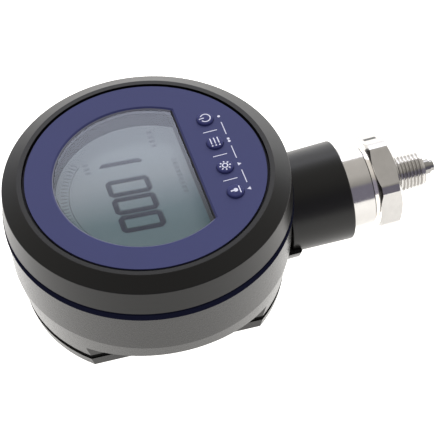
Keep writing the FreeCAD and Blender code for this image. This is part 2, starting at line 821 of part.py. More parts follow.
def cell():
    """Round cell along X, with its positive nub on the +X side and its middle at the origin."""
    half = cell_length / 2
    step = half - cell_nub_length
    body = turned([
        (0, -half),
        (cell_radius - cell_edge, -half),
        (cell_radius, cell_edge - half),
        (cell_radius, step - cell_edge),
        (cell_radius - cell_edge, step),
        (cell_nub_radius, step),
        (cell_nub_radius, half),
        (0, half),
    ])
    body.rotate(Vector(0, 0, 0), Vector(0, 1, 0), 90)
    return body


def contact_plate(side, first, last):
    """Thin plate on one end wall of the pocket that serves the cells first to last."""
    wall = side * pocket_half
    inside = wall - side * contact_thick
    low, high = min(wall, inside), max(wall, inside)
    return block(low, high, cell_ys[first] - contact_width / 2, cell_ys[last] + contact_width / 2,
                 cell_z - contact_height / 2, cell_z + contact_height / 2)


def contact_spring():
    """Open roll of spring strip that stands on the XY plane and presses along +Z."""
    radius = (spring_space - fit_gap) / 2
    roll = tube(radius, radius - spring_thick, -spring_width / 2, spring_width / 2)
    roll = roll.cut(block(0, big, -spring_opening / 2, spring_opening / 2, -big, big))
    roll.rotate(Vector(0, 0, 0), Vector(1, 0, 0), 90)
    roll.translate(Vector(0, 0, radius + fit_gap / 2))
    return roll


def battery_pin_points():
    """The two ends of the battery chain, beside its first and last cell."""
    last = cell_count - 1
    inset = pocket_half - pin_radius - fit_gap
    return [(cell_signs[0] * inset, cell_ys[0]), (-cell_signs[last] * inset, cell_ys[last])]


def make_batteries():
    """Three cells in series with their contacts, springs and the pins up to the main board."""
    nub_wall = pocket_half - contact_thick
    springs = []
    for i, (y, sign) in enumerate(zip(cell_ys, cell_signs)):
        body = cell()
        if sign < 0:
            body.rotate(Vector(0, 0, 0), Vector(0, 0, 1), 180)
        middle = sign * (nub_wall - fit_gap / 2 - cell_length / 2)
        save("battery_" + str(i + 1), body.translated(Vector(middle, y, cell_z)))
        spring = contact_spring()
        spring.rotate(Vector(0, 0, 0), Vector(0, 1, 0), sign * 90)
        springs.append(spring.translated(Vector(-sign * nub_wall, y, cell_z)))
    save_group("battery_springs", springs)
    first_side = cell_signs[0]
    save_group("battery_contacts", [
        contact_plate(first_side, 0, 0),
        contact_plate(-first_side, 0, 1),
        contact_plate(first_side, 1, 2),
        contact_plate(-first_side, 2, 2),
    ])
    pin_foot = cell_z + contact_height / 2
    pins = [rod(pin_radius, pin_foot, board_bottom_z, x, y) for x, y in battery_pin_points()]
    save_group("battery_pins", pins)


def make_neck_sleeve():
    """Dark sleeve over the neck tube, slightly flared towards its end and cut to the round of the case."""
    inner = tube_radius + fit_gap
    sleeve = turned([
        (inner, sleeve_start),
        (sleeve_root_radius, sleeve_start),
        (sleeve_root_radius, foot_end),
        (sleeve_end_radius, tube_end),
        (inner, tube_end),
    ])
    sleeve = rounded(sleeve, sleeve_end_round, circle_at(sleeve_end_radius, tube_end))
    sleeve = rounded(sleeve, sleeve_back_round, circle_at(sleeve_root_radius, sleeve_start))
    save("neck_sleeve", on_stem(sleeve).cut(case_form(-fit_gap, case_bottom_z)))


def stem_outline():
    """Outline of the turned stem from its inner end to the spigot tip."""
    groove_low = ring_start - fit_gap / 2
    groove_high = ring_end + fit_gap / 2
    return [
        (0, stem_start),
        (journal_radius, stem_start),
        (journal_radius, groove_low),
        (journal_radius - ring_groove_depth, groove_low),
        (journal_radius - ring_groove_depth, groove_high),
        (journal_radius, groove_high),
        (journal_radius, shoulder + fit_gap),
        (shank_radius, shoulder + fit_gap),
        (shank_radius, oring_start),
        (oring_floor_radius, oring_start),
        (oring_floor_radius, oring_start + oring_groove_width),
        (shank_radius, oring_start + oring_groove_width),
        (shank_radius, collar_start),
        (collar_radius - collar_chamfer, collar_start),
        (collar_radius, collar_start + collar_chamfer),
        (collar_radius, collar_end - collar_chamfer),
        (collar_radius - collar_chamfer, collar_end),
        (groove_radius, collar_end),
        (groove_radius, hexagon_start),
        (relief_radius, hexagon_end),
        (relief_radius, hexagon_end + relief_width),
        (thread_radius - thread_chamfer, hexagon_end + relief_width),
        (thread_radius, hexagon_end + relief_width + thread_chamfer),
        (thread_radius, thread_end - thread_chamfer),
        (thread_radius - thread_chamfer, thread_end),
        (spigot_tip_radius, thread_end),
        (spigot_tip_radius, spigot_tip - spigot_nose_length),
        (spigot_nose_radius, spigot_tip - spigot_nose_length),
        (spigot_nose_radius, spigot_tip),
        (0, spigot_tip),
    ]


def hexagon_block():
    """Hexagon milled on a round bar, with its corners chamfered at both ends."""
    end_radius = hexagon_flats / 2 - collar_chamfer
    drop = (hexagon_bar_radius - end_radius) * math.tan(math.radians(hexagon_chamfer))
    bar = turned([
        (0, hexagon_start),
        (end_radius, hexagon_start),
        (hexagon_bar_radius, hexagon_start + drop),
        (hexagon_bar_radius, hexagon_end - drop),
        (end_radius, hexagon_end),
        (0, hexagon_end),
    ])
    return bar.common(hexagon(hexagon_flats, hexagon_start, hexagon_end, hexagon_turn))


def make_process_stem():
    """Steel stem: shank, collar, hexagon, threaded end and spigot, bored for the sensor and the port."""
    stem = turned(stem_outline()).fuse(hexagon_block())
    stem = stem.cut(rod(capsule_radius + fit_gap, stem_start, capsule_seat))
    stem = stem.cut(rod(port_radius, capsule_seat, spigot_tip))
    stem = stem.cut(rod(stop_pin_radius, collar_start, collar_start + stop_pin_seat, 0, stop_circle))
    save("process_stem", on_stem(stem.removeSplitter()))


def make_swivel_parts():
    """Seal, washer, retaining ring and stop pin of the turning joint."""
    seal = Part.makeTorus(oring_floor_radius + oring_wire, oring_wire)
    save("stem_oring", on_stem(seal.translated(Vector(0, 0, oring_start + oring_groove_width / 2))))
    bore = journal_radius + fit_gap
    save("thrust_washer", on_stem(tube(washer_radius, bore, washer_start, washer_end)))
    ring = tube(ring_radius, journal_radius - ring_groove_depth + fit_gap / 2, ring_start, ring_end)
    opening = block(0, big, -ring_opening / 2, ring_opening / 2, -big, big)
    save("retaining_ring", on_stem(ring.cut(opening)))
    pin = rod(stop_pin_radius, collar_start - stop_pin_reach, collar_start + stop_pin_seat, 0, stop_circle)
    save("stop_pin", on_stem(pin))


def make_sensor():
    """Pressure capsule, its seal, nut and pins, and the small board on the inner end of the stem."""
    save("sensor_capsule", on_stem(rod(capsule_radius, capsule_start, capsule_end)))
    save("sensor_seal", on_stem(tube(capsule_radius, sensor_seal_bore, capsule_end, capsule_seat)))
    save("sensor_nut", on_stem(tube(capsule_radius, sensor_nut_bore, sensor_nut_start, capsule_start)))
    save("sensor_board", on_stem(rod(sensor_board_radius, sensor_board_start, stem_start)))
    pins = []
    for i in range(sensor_pin_count):
        angle = 2 * math.pi * i / sensor_pin_count
        pins.append(rod(sensor_pin_radius, stem_start, capsule_start,
                        sensor_pin_circle * math.cos(angle), sensor_pin_circle * math.sin(angle)))
    save("sensor_pins", on_stem(Part.makeCompound(pins)))


make_front_bezel()
make_front_panel()
make_keypad_foil()
make_keys()
make_key_board()
make_window_pane()
make_lcd_frame()
make_display()
make_main_board()
make_sensor_lead()
make_seal_ring()
make_rear_case()
make_case_screws()
make_rear_cover()
make_batteries()
make_neck_sleeve()
make_process_stem()
make_swivel_parts()
make_sensor()
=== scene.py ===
"""Looks of a digital pressure gauge: painted case, printed keypad, display, cut thread and a light table."""

import json
import math

import bmesh
import bpy
from bpy.props import FloatProperty, FloatVectorProperty, IntProperty, PointerProperty, StringProperty
from bpy.types import Operator, Panel, PropertyGroup
from mathutils import Matrix, Vector
from mathutils.bvhtree import BVHTree


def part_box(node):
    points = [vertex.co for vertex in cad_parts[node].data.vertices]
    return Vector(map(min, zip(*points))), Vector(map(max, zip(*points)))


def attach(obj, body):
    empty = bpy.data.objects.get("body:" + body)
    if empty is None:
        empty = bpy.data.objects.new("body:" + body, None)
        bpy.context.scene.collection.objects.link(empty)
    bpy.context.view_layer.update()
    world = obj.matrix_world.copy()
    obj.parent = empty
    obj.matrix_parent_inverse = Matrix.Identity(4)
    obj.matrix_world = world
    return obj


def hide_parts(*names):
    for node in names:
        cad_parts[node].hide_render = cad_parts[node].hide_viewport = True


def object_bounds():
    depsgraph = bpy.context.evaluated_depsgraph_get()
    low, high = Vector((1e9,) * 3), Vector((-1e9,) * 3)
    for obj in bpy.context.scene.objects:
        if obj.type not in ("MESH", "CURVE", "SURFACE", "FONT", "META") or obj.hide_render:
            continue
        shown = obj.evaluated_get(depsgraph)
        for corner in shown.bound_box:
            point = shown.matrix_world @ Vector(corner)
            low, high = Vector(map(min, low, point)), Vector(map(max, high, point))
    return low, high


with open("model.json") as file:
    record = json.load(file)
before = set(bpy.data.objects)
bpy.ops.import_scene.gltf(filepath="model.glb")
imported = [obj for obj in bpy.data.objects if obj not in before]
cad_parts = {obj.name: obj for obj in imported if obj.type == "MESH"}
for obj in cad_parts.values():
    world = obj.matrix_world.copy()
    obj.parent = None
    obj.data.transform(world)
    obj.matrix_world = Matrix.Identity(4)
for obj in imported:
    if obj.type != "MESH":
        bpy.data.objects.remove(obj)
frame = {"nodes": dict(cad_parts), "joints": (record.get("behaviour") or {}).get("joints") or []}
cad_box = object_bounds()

bl_info = {
    "name": "Pressure gauge looks",
    "version": (1, 0, 0),
    "blender": (4, 5, 0),
    "location": "3D View > Sidebar > Gauge",
    "description": "Finishes, print, display and cut thread of a digital pressure gauge",
    "category": "Object",
}

MM = 0.001
SENSOR_WIDTH = 36.0

# Places that the frame gives
KEYS = ("light_key", "settings_key", "menu_key", "power_key")
stem_axis_height = next(j for j in frame["joints"] if j["name"] == "stem_swivel")["pos_m"][2]
foil_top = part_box("keypad_foil")[1].z
display_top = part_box("lcd_glass")[1].z
stem_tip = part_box("process_stem")[0].y


def centre(node):
    """Middle of a node's box."""
    low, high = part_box(node)
    return (low + high) / 2


def length(label, description, default):
    """A size in metres that a user may change."""
    return FloatProperty(name=label, description=description, default=default, unit="LENGTH", precision=5)


def angle(label, description, degrees):
    """An angle that a user may change."""
    return FloatProperty(name=label, description=description, default=math.radians(degrees), unit="ROTATION")


def ratio(label, description, default, top=1.0):
    """A plain number from nought to top."""
    return FloatProperty(name=label, description=description, default=default, min=0.0, max=top)


def colour(label, description, default):
    """A linear colour that a user may change."""
    limits = {"subtype": "COLOR", "min": 0.0, "max": 1.0}
    return FloatVectorProperty(name=label, description=description, default=default, **limits)


def whole(label, description, default, least):
    """A whole number that a user may change."""
    return IntProperty(name=label, description=description, default=default, min=least)


class GaugeView(PropertyGroup):
    """Where the camera stands."""

    heading: angle("Heading", "Turn of the view about the dial axis", -15.069)
    elevation: angle("Elevation", "Height of the view above the floor", 49.79)
    roll: angle("Roll", "Turn of the picture about the line of sight", -3.026)
    distance: length("Distance", "Distance from the aim point", 0.694403)
    slide_right: length("Slide right", "Camera shift to its own right", 0.025421)
    slide_up: length("Slide up", "Camera shift along its own up", -0.01371)
    aim_height: length("Aim height", "Height of the aim point on the dial axis", 0.050)
    lens: FloatProperty(
        name="Lens",
        description="Focal length on a sensor 36 mm wide",
        default=164.99,
        unit="CAMERA",
    )


class GaugeStage(PropertyGroup):
    """The light table and the soft boxes round it."""

    floor_side: length("Floor side", "Side of the square floor", 12.0)
    floor_glow: ratio("Floor glow", "Light that the table gives by itself", 1.45, 4.0)
    floor_colour: colour("Floor colour", "Colour of the table top", (0.60, 0.60, 0.60))
    floor_tone: colour("Floor tone", "Tone of the table's own light", (1.0, 0.985, 0.95))
    far_light: ratio("Far light", "Strength of the big soft box behind the gauge", 4.2, 10.0)
    far_colour: colour("Far colour", "Tone of the big soft box", (0.92, 0.925, 1.0))
    far_edge: angle("Far edge", "Elevation of the upper edge of the big soft box", 48.6)
    far_bend: angle("Far bend", "Elevation below which the big soft box is dimmer", 38.0)
    far_low: ratio("Far low", "Share of light in the dimmer part", 0.37)
    far_right: angle("Far right", "Reach of the big soft box to the right", 28.0)
    far_left: angle("Far left", "Reach of the big soft box to the left", 35.0)
    low_right: angle("Low right", "Reach of its dimmer part to the right", 46.0)
    right_light: ratio("Right light", "Strength of the low soft box to the right", 3.3, 10.0)
    right_start: angle("Right start", "Turn of the right box's near side from straight ahead", 8.0)
    roof_colour: colour("Roof", "Warm tone overhead", (0.82, 0.79, 0.75))
    aside_colour: colour("Aside", "Tone beside the big soft box", (0.88, 0.86, 0.85))
    front_colour: colour("Front", "Dim tone behind the camera", (0.30, 0.285, 0.36))


class GaugeFinishes(PropertyGroup):
    """Colours of the finishes and where they change."""

    bezel: colour("Bezel", "Satin black coat of the front ring", (0.002, 0.002, 0.0018))
    case: colour("Case", "Textured grey coat of the rear case", (0.022, 0.022, 0.0215))
    foil: colour("Foil", "Blue of the keypad foil", (0.0492, 0.0560, 0.162))
    key: colour("Key", "Blue of the embossed keys", (0.038, 0.043, 0.150))
    panel: colour("Panel", "Bevelled window edge of the plate under the foil", (0.245, 0.255, 0.305))
    # Painted shade: the plate's dark rim and its dark part below the window's flat stand in for the shade in
    # the gap round the foil and along the window's flat edge.
    panel_painted_shade: colour("Panel rim", "Dark rim of the plate under the foil", (0.05, 0.05, 0.06))
    painted_shade_border: length("Panel border", "Radius where the dark rim begins", 36.0 * MM)
    painted_shade_flat: length("Panel flat", "Place of the window's lower flat, where it turns dark", -16.6 * MM)
    seal: colour("Seal", "Blue of the ring between bezel and case", (0.0055, 0.0062, 0.015))
    neck: colour("Neck", "Black of the neck sleeve", (0.0055, 0.0055, 0.005))
    steel: colour("Steel", "Turned stainless steel", (0.50, 0.489, 0.474))
    frame: colour("Display frame", "Dark grey of the display frame", (0.020, 0.021, 0.026))
    glass: colour("Display glass", "Grey blue of the resting display", (0.040, 0.071, 0.078))
    # Painted light: the display's glow is partly a backlight and partly painted fill that evens out the shade
    # of the frame's walls; the far half glows brighter as a painted reflection of the pane.
    far_backlight_and_painted_glare: colour("Backlight", "Light that comes through the display's far half", (0.125, 0.132, 0.143))
    near_backlight_and_painted_fill: colour("Dim light", "Light that comes through the display's near half", (0.016, 0.043, 0.053))
    segment: colour("Segment", "Dark tone of a driven segment", (0.015, 0.019, 0.045))
    ink: colour("Ink", "Pale print on the foil", (0.78, 0.80, 0.98))


class GaugeThread(PropertyGroup):
    """Pipe thread of a quarter inch."""

    pitch: length("Pitch", "Rise of one turn", 1.337 * MM)
    depth: length("Depth", "Height of the ridge", 0.856 * MM)
    radius: length("Radius", "Radius over the crests", 6.58 * MM)
    crest: ratio("Crest", "Half width of the crest as a share of the pitch", 0.09)
    start: length("Start", "Distance of the first ridge from the spigot's tip", 4.6 * MM)
    run: length("Run", "Length of the threaded part", 10.2 * MM)
    sunk: length("Sunk", "Depth of the ridge's foot below the core", 0.15 * MM)
    turn_points: whole("Points", "Points on each turn", 96, 12)
    smooth: angle("Smooth", "Angle between faces above which an edge of the stem is sharp", 28.0)
    tip: ratio("Tip", "Share of the ridge's section that is left at its two ends", 0.08)
    blunt: length("Blunt", "Distance beyond the thread up to which the stem is cut to the core", 0.2 * MM)


class GaugeSteel(PropertyGroup):
    """Tones along the stem, with a painted highlight in the groove behind the hexagon, and the plain dark
    field on one facet of its hexagon.
    """

    place: length("Place", "Middle of the hexagon and of the field along the stem", -85.3 * MM)
    hexagon: length("Hexagon", "Length of the hexagon", 8.9 * MM)
    hexagon_tone: ratio("Hexagon tone", "Share of the steel's tone on the hexagon", 0.84)
    groove: length("Groove", "Middle of the groove behind the hexagon along the stem", -80.6 * MM)
    groove_width: length("Groove width", "Width of the groove", 1.5 * MM)
    # Painted highlight: the groove's steel is made brighter than the rest of the stem.
    groove_painted_highlight: ratio("Groove tone", "Share of the steel's tone in the groove", 1.8, 4.0)
    spigot: length("Spigot", "Length of the spigot at the tip", 4.3 * MM)
    spigot_tone: ratio("Spigot tone", "Share of the steel's tone on the spigot", 0.55)
    facet: angle("Facet", "Direction of the field's facet about the stem, from the right upwards", 56.0)
    field_height: length("Field height", "Least distance of the field from the stem's axis", 15.3 * MM)
    field_along: length("Field along", "Length of the field along the stem", 4.6 * MM)
    field_across: length("Field across", "Width of the field", 2.8 * MM)
    field_tone: ratio("Field tone", "Share of the steel's tone on the field", 0.12)


class GaugePrint(PropertyGroup):
    """Print on the keypad foil."""

    thickness: length("Thickness", "Height of the ink above the foil", 0.03 * MM)
    sunk: length("Sunk", "Depth of the print's lower side under the surface", 0.05 * MM)
    line: length("Line", "Width of the printed lines", 0.31 * MM)
    symbol_line: length("Symbol line", "Width of the lines on the keys", 0.38 * MM)
    mark_drop: length("Mark drop", "Distance of the marks below the keys", 5.0 * MM)
    dash: length("Dash", "Length of a dash", 6.0 * MM)
    fence: length("Fence", "Length of a line between two keys", 5.05 * MM)
    dot: length("Dot", "Radius of a dot", 0.50 * MM)
    dot_spread: length("Dot spread", "Half the distance of two dots side by side", 0.58 * MM)
    triangle: length("Triangle", "Radius round a triangle's corners", 0.85 * MM)


class GaugeDisplay(PropertyGroup):
    """What the display shows."""

    reading: StringProperty(name="Reading", description="Digits shown", default="0001")
    left: length("Left", "Left side of the first digit", -16.5 * MM)
    foot: length("Foot", "Lower side of the digits", -2.1 * MM)
    pitch: length("Pitch", "Step from digit to digit", 8.4 * MM)
    width: length("Width", "Width of a digit", 7.7 * MM)
    height: length("Height", "Height of a digit", 15.2 * MM)
    stroke: length("Stroke", "Width of a segment", 1.7 * MM)
    corner: length("Corner", "Cut at a digit's outer corners", 1.3 * MM)
    slant: angle("Slant", "Lean of the digits", 5.0)
    thickness: length("Thickness", "Height of the segments", 0.02 * MM)
    shadow_step: length("Shadow step", "Slip of the shadow behind a segment", 0.45 * MM)
    driven: ratio("Driven", "Cover of a driven segment", 0.95)
    shadow: ratio("Shadow", "Cover of its shadow", 0.30)
    # Painted glare: the segments lose cover on the far half, standing in for the pane's reflection washing
    # them out.
    fade: ratio("Fade", "Loss of cover on the display's bright half", 0.45)
    faint: ratio("Faint", "Cover of the small marks", 0.12)
    scale_radius: length("Scale radius", "Radius of the arc of small marks", 28.3 * MM)
    scale_offset: length("Scale offset", "Distance of the arc's middle from the dial axis", 0.6 * MM)
    scale_start: angle("Scale start", "Direction of the first small mark", 46.0)
    scale_sweep: angle("Scale sweep", "Angle from the first to the last small mark", 138.0)
    scale_marks: whole("Scale marks", "Number of small marks on the arc", 44, 2)
    mark_long: length("Mark length", "Length of a small mark along the arc's radius", 2.2 * MM)
    mark_wide: length("Mark width", "Width of a small mark", 0.7 * MM)
    edge_drop: length("Edge drop", "Distance of the thin arc inside the small marks", 1.7 * MM)
    edge_line: length("Edge line", "Width of the thin arc", 0.3 * MM)
    edge_cover: ratio("Edge cover", "Cover of the thin arc", 0.24)


class Wire:
    """A node's output socket; sums and products of wires and numbers add Math nodes."""

    def __init__(self, tree, socket):
        self.tree = tree
        self.socket = socket

    def __lt__(self, other):
        return self.tree.math("LESS_THAN", self, other)

    def __gt__(self, other):
        return self.tree.math("GREATER_THAN", self, other)

    def __abs__(self):
        return self.tree.math("ABSOLUTE", self)

    def __getitem__(self, name):
        """Another output of the same node."""
        return Wire(self.tree, self.socket.node.outputs[name])


def sum_method(operation, turned=False):
    """A method of Wire that adds one Math node, with its two values turned round for the reflected form."""

    def method(self, other):
        return self.tree.math(operation, *((other, self) if turned else (self, other)))

    return method


for sign, operation in {"add": "ADD", "sub": "SUBTRACT", "mul": "MULTIPLY", "truediv": "DIVIDE"}.items():
    setattr(Wire, f"__{sign}__", sum_method(operation))
    setattr(Wire, f"__r{sign}__", sum_method(operation, turned=True))


class Tree:
    """A node tree with one way to add a node."""

    def __init__(self, tree):
        self.tree = tree

    def add(self, kind, settings=None, inputs=None, output=0):
        """Adds a node, sets its settings first, then its sockets, and returns one output."""
        node = self.tree.nodes.new(kind)
        for name, value in (settings or {}).items():
            if name == "stops":
                self.set_stops(node.color_ramp.elements, value)
            else:
                setattr(node, name, value)
        for name, value in (inputs or {}).items():
            if isinstance(value, Wire):
                self.tree.links.new(value.socket, node.inputs[name])
            else:
                node.inputs[name].default_value = value
        return None if output is None else Wire(self, node.outputs[output])

    def set_stops(self, elements, stops):
        """Gives a ramp its stops, from the lowest up."""
        while len(elements) > 1:
            elements.remove(elements[-1])
        for place, (position, tone) in enumerate(stops):
            stop = elements[0] if place == 0 else elements.new(position)
            stop.position = position
            stop.color = (*tone, 1.0)

    def math(self, operation, first, second=0.0, clamp=False):
        """Adds one Math node."""
        return self.add("ShaderNodeMath", {"operation": operation, "use_clamp": clamp}, {0: first, 1: second})

    def place(self):
        """Object coordinates."""
        return self.add("ShaderNodeTexCoord", output="Object")

    def parts(self, vector):
        """The x, y and z of a vector."""
        split = self.add("ShaderNodeSeparateXYZ", inputs={0: vector})
        return split["X"], split["Y"], split["Z"]

    def joined(self, x=0.0, y=0.0, z=0.0):
        """A vector from three numbers or wires."""
        return self.add("ShaderNodeCombineXYZ", inputs={0: x, 1: y, 2: z})

    def noise(self, grain, detail=2.0, where=None):
        """Cloudy values from 0 to 1 whose clouds are about one grain wide."""
        sockets = {"Vector": where or self.place(), "Scale": 1.0 / grain, "Detail": detail}
        return self.add("ShaderNodeTexNoise", inputs=sockets)

    def blend(self, factor, first, second):
        """Mixes two colours."""
        sockets = {0: factor, 6: shade(first), 7: shade(second)}
        return self.add("ShaderNodeMix", {"data_type": "RGBA"}, sockets, output=2)

    def bump(self, height, distance):
        """A normal from a height between 0 and 1."""
        return self.add("ShaderNodeBump", inputs={"Height": height, "Distance": distance})

    def surface(self, sockets):
        """Ends the tree in one Principled shader."""
        self.end(self.add("ShaderNodeBsdfPrincipled", inputs=sockets))

    def end(self, shader):
        """Links a shader to the material's output."""
        self.add("ShaderNodeOutputMaterial", inputs={"Surface": shader}, output=None)


def shade(tone, factor=1.0):
    """A colour with its alpha, made lighter or darker; a wire stays as it is."""
    if isinstance(tone, Wire):
        return tone
    return (*[min(1.0, part * factor) for part in tuple(tone)[:3]], 1.0)


def scaled(tone, factor):
    """A colour of light, which may be brighter than one."""
    return tuple(part * factor for part in tone)


def new_finish(name):
    """Starts a material and returns it with its empty tree."""
    material = bpy.data.materials.new(name)
    material.use_nodes = True
    material.node_tree.nodes.clear()
    return material, Tree(material.node_tree)


def coat(name, tone, roughness, grain, relief, cloud=9 * MM, drift=0.10, level=0.5, mottle=0.0):
    """A sprayed or moulded coat: fine grain, slow drift of tone and a little change of gloss."""
    material, tree = new_finish(name)
    fine = tree.noise(grain, detail=3.0)
    slow = tree.noise(cloud, detail=3.0)
    speck, fine_gloss, slow_gloss = 0.25, 0.12, 0.06
    drifted = tree.blend(slow, shade(tone, 1 - drift), shade(tone, 1 + drift))
    tree.surface({
        "Base Color": tree.blend(mottle * fine, drifted, shade(tone, speck)),
        "Roughness": roughness + fine_gloss * (fine - 0.5) + slow_gloss * (slow - 0.5),
        "Specular IOR Level": level,
        "Normal": tree.bump(fine, relief),
    })
    return material


def plate_with_painted_shade(name, middle, rim, border, flat):
    """A moulded plate about the dial axis with painted shade: dark outside a border radius, so the gap round
    the foil reads as shade, and dark below its window's flat, so that edge reads as a shaded line.
    """
    material, tree = new_finish(name)
    x, y = tree.parts(tree.place())[:2]
    fine = tree.noise(0.30 * MM, detail=3.0)
    # Painted shade: dark outside the border radius and below the window's flat.
    dark = tree.math("MAXIMUM", (x * x + y * y) > border ** 2, y < flat)
    tone = tree.blend(dark, shade(middle), shade(rim))
    tree.surface({
        "Base Color": tree.blend(0.2 * fine, tone, shade(rim)),
        "Roughness": 0.65 + 0.1 * fine,
        "Specular IOR Level": 0.06,
        "Normal": tree.bump(fine, 0.004 * MM),
    })
    return material


def near(value, middle, width):
    """One within a band of the given width and nought elsewhere."""
    return abs(value - middle) < width / 2


def hexagon_dark_field(x, y, z, sizes):
    """One on the plain dark field of the hexagon and nought elsewhere, from places about the stem's axis."""
    out = x * math.cos(sizes.facet) + z * math.sin(sizes.facet)
    across = z * math.cos(sizes.facet) - x * math.sin(sizes.facet)
    along = near(y, sizes.place, sizes.field_along)
    return (out > sizes.field_height) * near(across, 0.0, sizes.field_across) * along


def turned_steel(name, tone, sizes=None):
    """Turned stainless steel: fine tool marks round the stem's axis, with faint stains."""
    material, tree = new_finish(name)
    x, y, z = tree.parts(tree.place())
    z = z - stem_axis_height
    radius = tree.math("SQRT", x * x + z * z)
    marks = tree.noise(0.10 * MM, detail=3.0, where=tree.joined(y + radius))
    stains = tree.noise(3.5 * MM, detail=3.0)
    bare = tree.blend(stains, shade(tone, 0.93), shade(tone, 1.05))
    roughness = 0.09 + 0.06 * marks + 0.04 * stains
    if sizes is not None:
        dull = [shade(tone, change * sizes.hexagon_tone) for change in (0.9, 1.1)]
        # A darker, rougher field on one facet of the hexagon.
        dark_field_mask = hexagon_dark_field(x, y, z, sizes)
        for place, finish in (
            (near(y, sizes.place, sizes.hexagon), tree.blend(stains, *dull)),
            # Painted highlight in the groove behind the hexagon.
            (near(y, sizes.groove, sizes.groove_width), shade(tone, sizes.groove_painted_highlight)),
            (y < stem_tip + sizes.spigot, shade(tone, sizes.spigot_tone)),
            (dark_field_mask, shade(tone, sizes.field_tone)),
        ):
            bare = tree.blend(place, bare, finish)
        roughness = roughness + 0.35 * dark_field_mask
    tree.surface({
        "Base Color": bare,
        "Metallic": 1.0,
        "Roughness": roughness,
        "Normal": tree.bump(marks, 0.004 * MM),
    })
    return material


def plated(name, tone, roughness):
    """A plated metal with a slight haze."""
    material, tree = new_finish(name)
    haze = tree.noise(0.8 * MM, detail=3.0)
    tree.surface({
        "Base Color": tree.blend(haze, shade(tone, 0.86), shade(tone, 1.06)),
        "Metallic": 1.0,
        "Roughness": roughness + 0.18 * (haze - 0.5),
    })
    return material


def clear_pane(name):
    """A clear pane: what lies behind, with a mirror on top that grows at a low angle."""
    material, tree = new_finish(name)
    outside = 1.0 - tree.add("ShaderNodeNewGeometry", output="Backfacing")
    gain, most = 1.5, 0.5
    fresnel = tree.add("ShaderNodeFresnel", inputs={"IOR": 1.5})
    gloss = outside * tree.math("MINIMUM", gain * fresnel, most)
    smear = tree.noise(14 * MM)
    clear, cool = (0.93, 0.94, 0.94, 1.0), (0.70, 0.74, 0.82, 1.0)
    through = tree.add("ShaderNodeBsdfTransparent", inputs={"Color": clear})
    mirror = tree.add("ShaderNodeBsdfGlossy", inputs={"Color": cool, "Roughness": 0.02 + 0.03 * smear})
    tree.end(tree.add("ShaderNodeMixShader", inputs={0: gloss, 1: through, 2: mirror}))
    return material


def far_half(tree, drift):
    """Nought on the display's near half and one on its far half, with a soft change between them."""
    near_end, wander, width = -9 * MM, 3 * MM, 17 * MM
    span = tree.parts(tree.place())[0] - near_end + wander * drift
    return tree.math("DIVIDE", span, width, clamp=True)


def display_glass(name, tone, near_backlight_and_painted_fill, far_backlight_and_painted_glare):
    """The display: a grey green reflector with a fine grain and a glow that is partly a backlight and partly
    painted light, which evens out the shade of the frame's walls and is brighter on the far half as a painted
    reflection of the pane.
    """
    material, tree = new_finish(name)
    fine = tree.noise(0.35 * MM)
    slow = tree.noise(16 * MM)
    mottled = tree.blend(slow, shade(tone, 0.94), shade(tone, 1.06))
    tree.surface({
        "Base Color": tree.blend(fine * 0.12, mottled, shade(tone, 0.7)),
        "Roughness": 0.34 + 0.04 * slow,
        "Specular IOR Level": 0.5,
        # Painted light: on top of a backlight, the glow is brighter on the far half as a painted reflection.
        "Emission Color": tree.blend(far_half(tree, slow), shade(near_backlight_and_painted_fill), shade(far_backlight_and_painted_glare)),
        "Emission Strength": 1.0,
    })
    return material


def cover_ink(name, tone, cover, fade=0.0):
    """A thin layer that lets part of what lies under it show, more so on the display's far half, where the
    fade paints the wash of glare.
    """
    material, tree = new_finish(name)
    fine = tree.noise(0.25 * MM)
    tree.surface({
        "Base Color": tree.blend(fine, shade(tone, 0.9), shade(tone, 1.1)),
        "Roughness": 0.45,
        "Specular IOR Level": 0.1,
        # Painted glare: less cover on the display's far half.
        "Alpha": cover * (0.94 + 0.12 * fine) * (1.0 - fade * far_half(tree, fine)),
    })
    return material


def printed(name, tone):
    """Pale screen print with a slightly uneven edge of tone."""
    material, tree = new_finish(name)
    fine = tree.noise(0.15 * MM)
    tree.surface({
        "Base Color": tree.blend(fine, shade(tone, 0.92), shade(tone, 1.06)),
        "Roughness": 0.5 + 0.1 * fine,
    })
    return material


def circuit_board(name, tone):
    """Solder mask with faint tracks under it."""
    material, tree = new_finish(name)
    tracks_per_metre = 350.0
    sockets = {"Vector": tree.place(), "Scale": tracks_per_metre}
    tracks = tree.add("ShaderNodeTexVoronoi", {"distance": "MANHATTAN"}, sockets)
    line = near(tracks, middle=0.35, width=0.12)
    tree.surface({
        "Base Color": tree.blend(line, shade(tone), shade(tone, 1.7)),
        "Roughness": 0.42 - 0.1 * line,
        "Normal": tree.bump(line, 0.02 * MM),
    })
    return material


def give(material, *nodes):
    """Puts a material on every slot of some CAD nodes."""
    for name in nodes:
        for slot in frame["nodes"][name].material_slots:
            slot.material = material


def give_coats(rows):
    """Coats nodes: name, colour, roughness, grain and relief in millimetres, other settings, nodes."""
    for name, tone, roughness, grain, relief, other, nodes in rows:
        give(coat(name, tone, roughness, grain * MM, relief * MM, **other), *nodes)


def keep(piece, body, slot, *nodes):
    """Lets a finished piece ride on a body and hides the nodes that it stands for; slot is not used."""
    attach(piece, body)
    if nodes:
        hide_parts(*nodes)


def new_piece(name, bm, material):
    """Makes a mesh object from a bmesh."""
    bmesh.ops.recalc_face_normals(bm, faces=bm.faces)
    mesh = bpy.data.meshes.new(name)
    bm.to_mesh(mesh)
    bm.free()
    mesh.materials.append(material)
    piece = bpy.data.objects.new(name, mesh)
    bpy.context.scene.collection.objects.link(piece)
    return piece


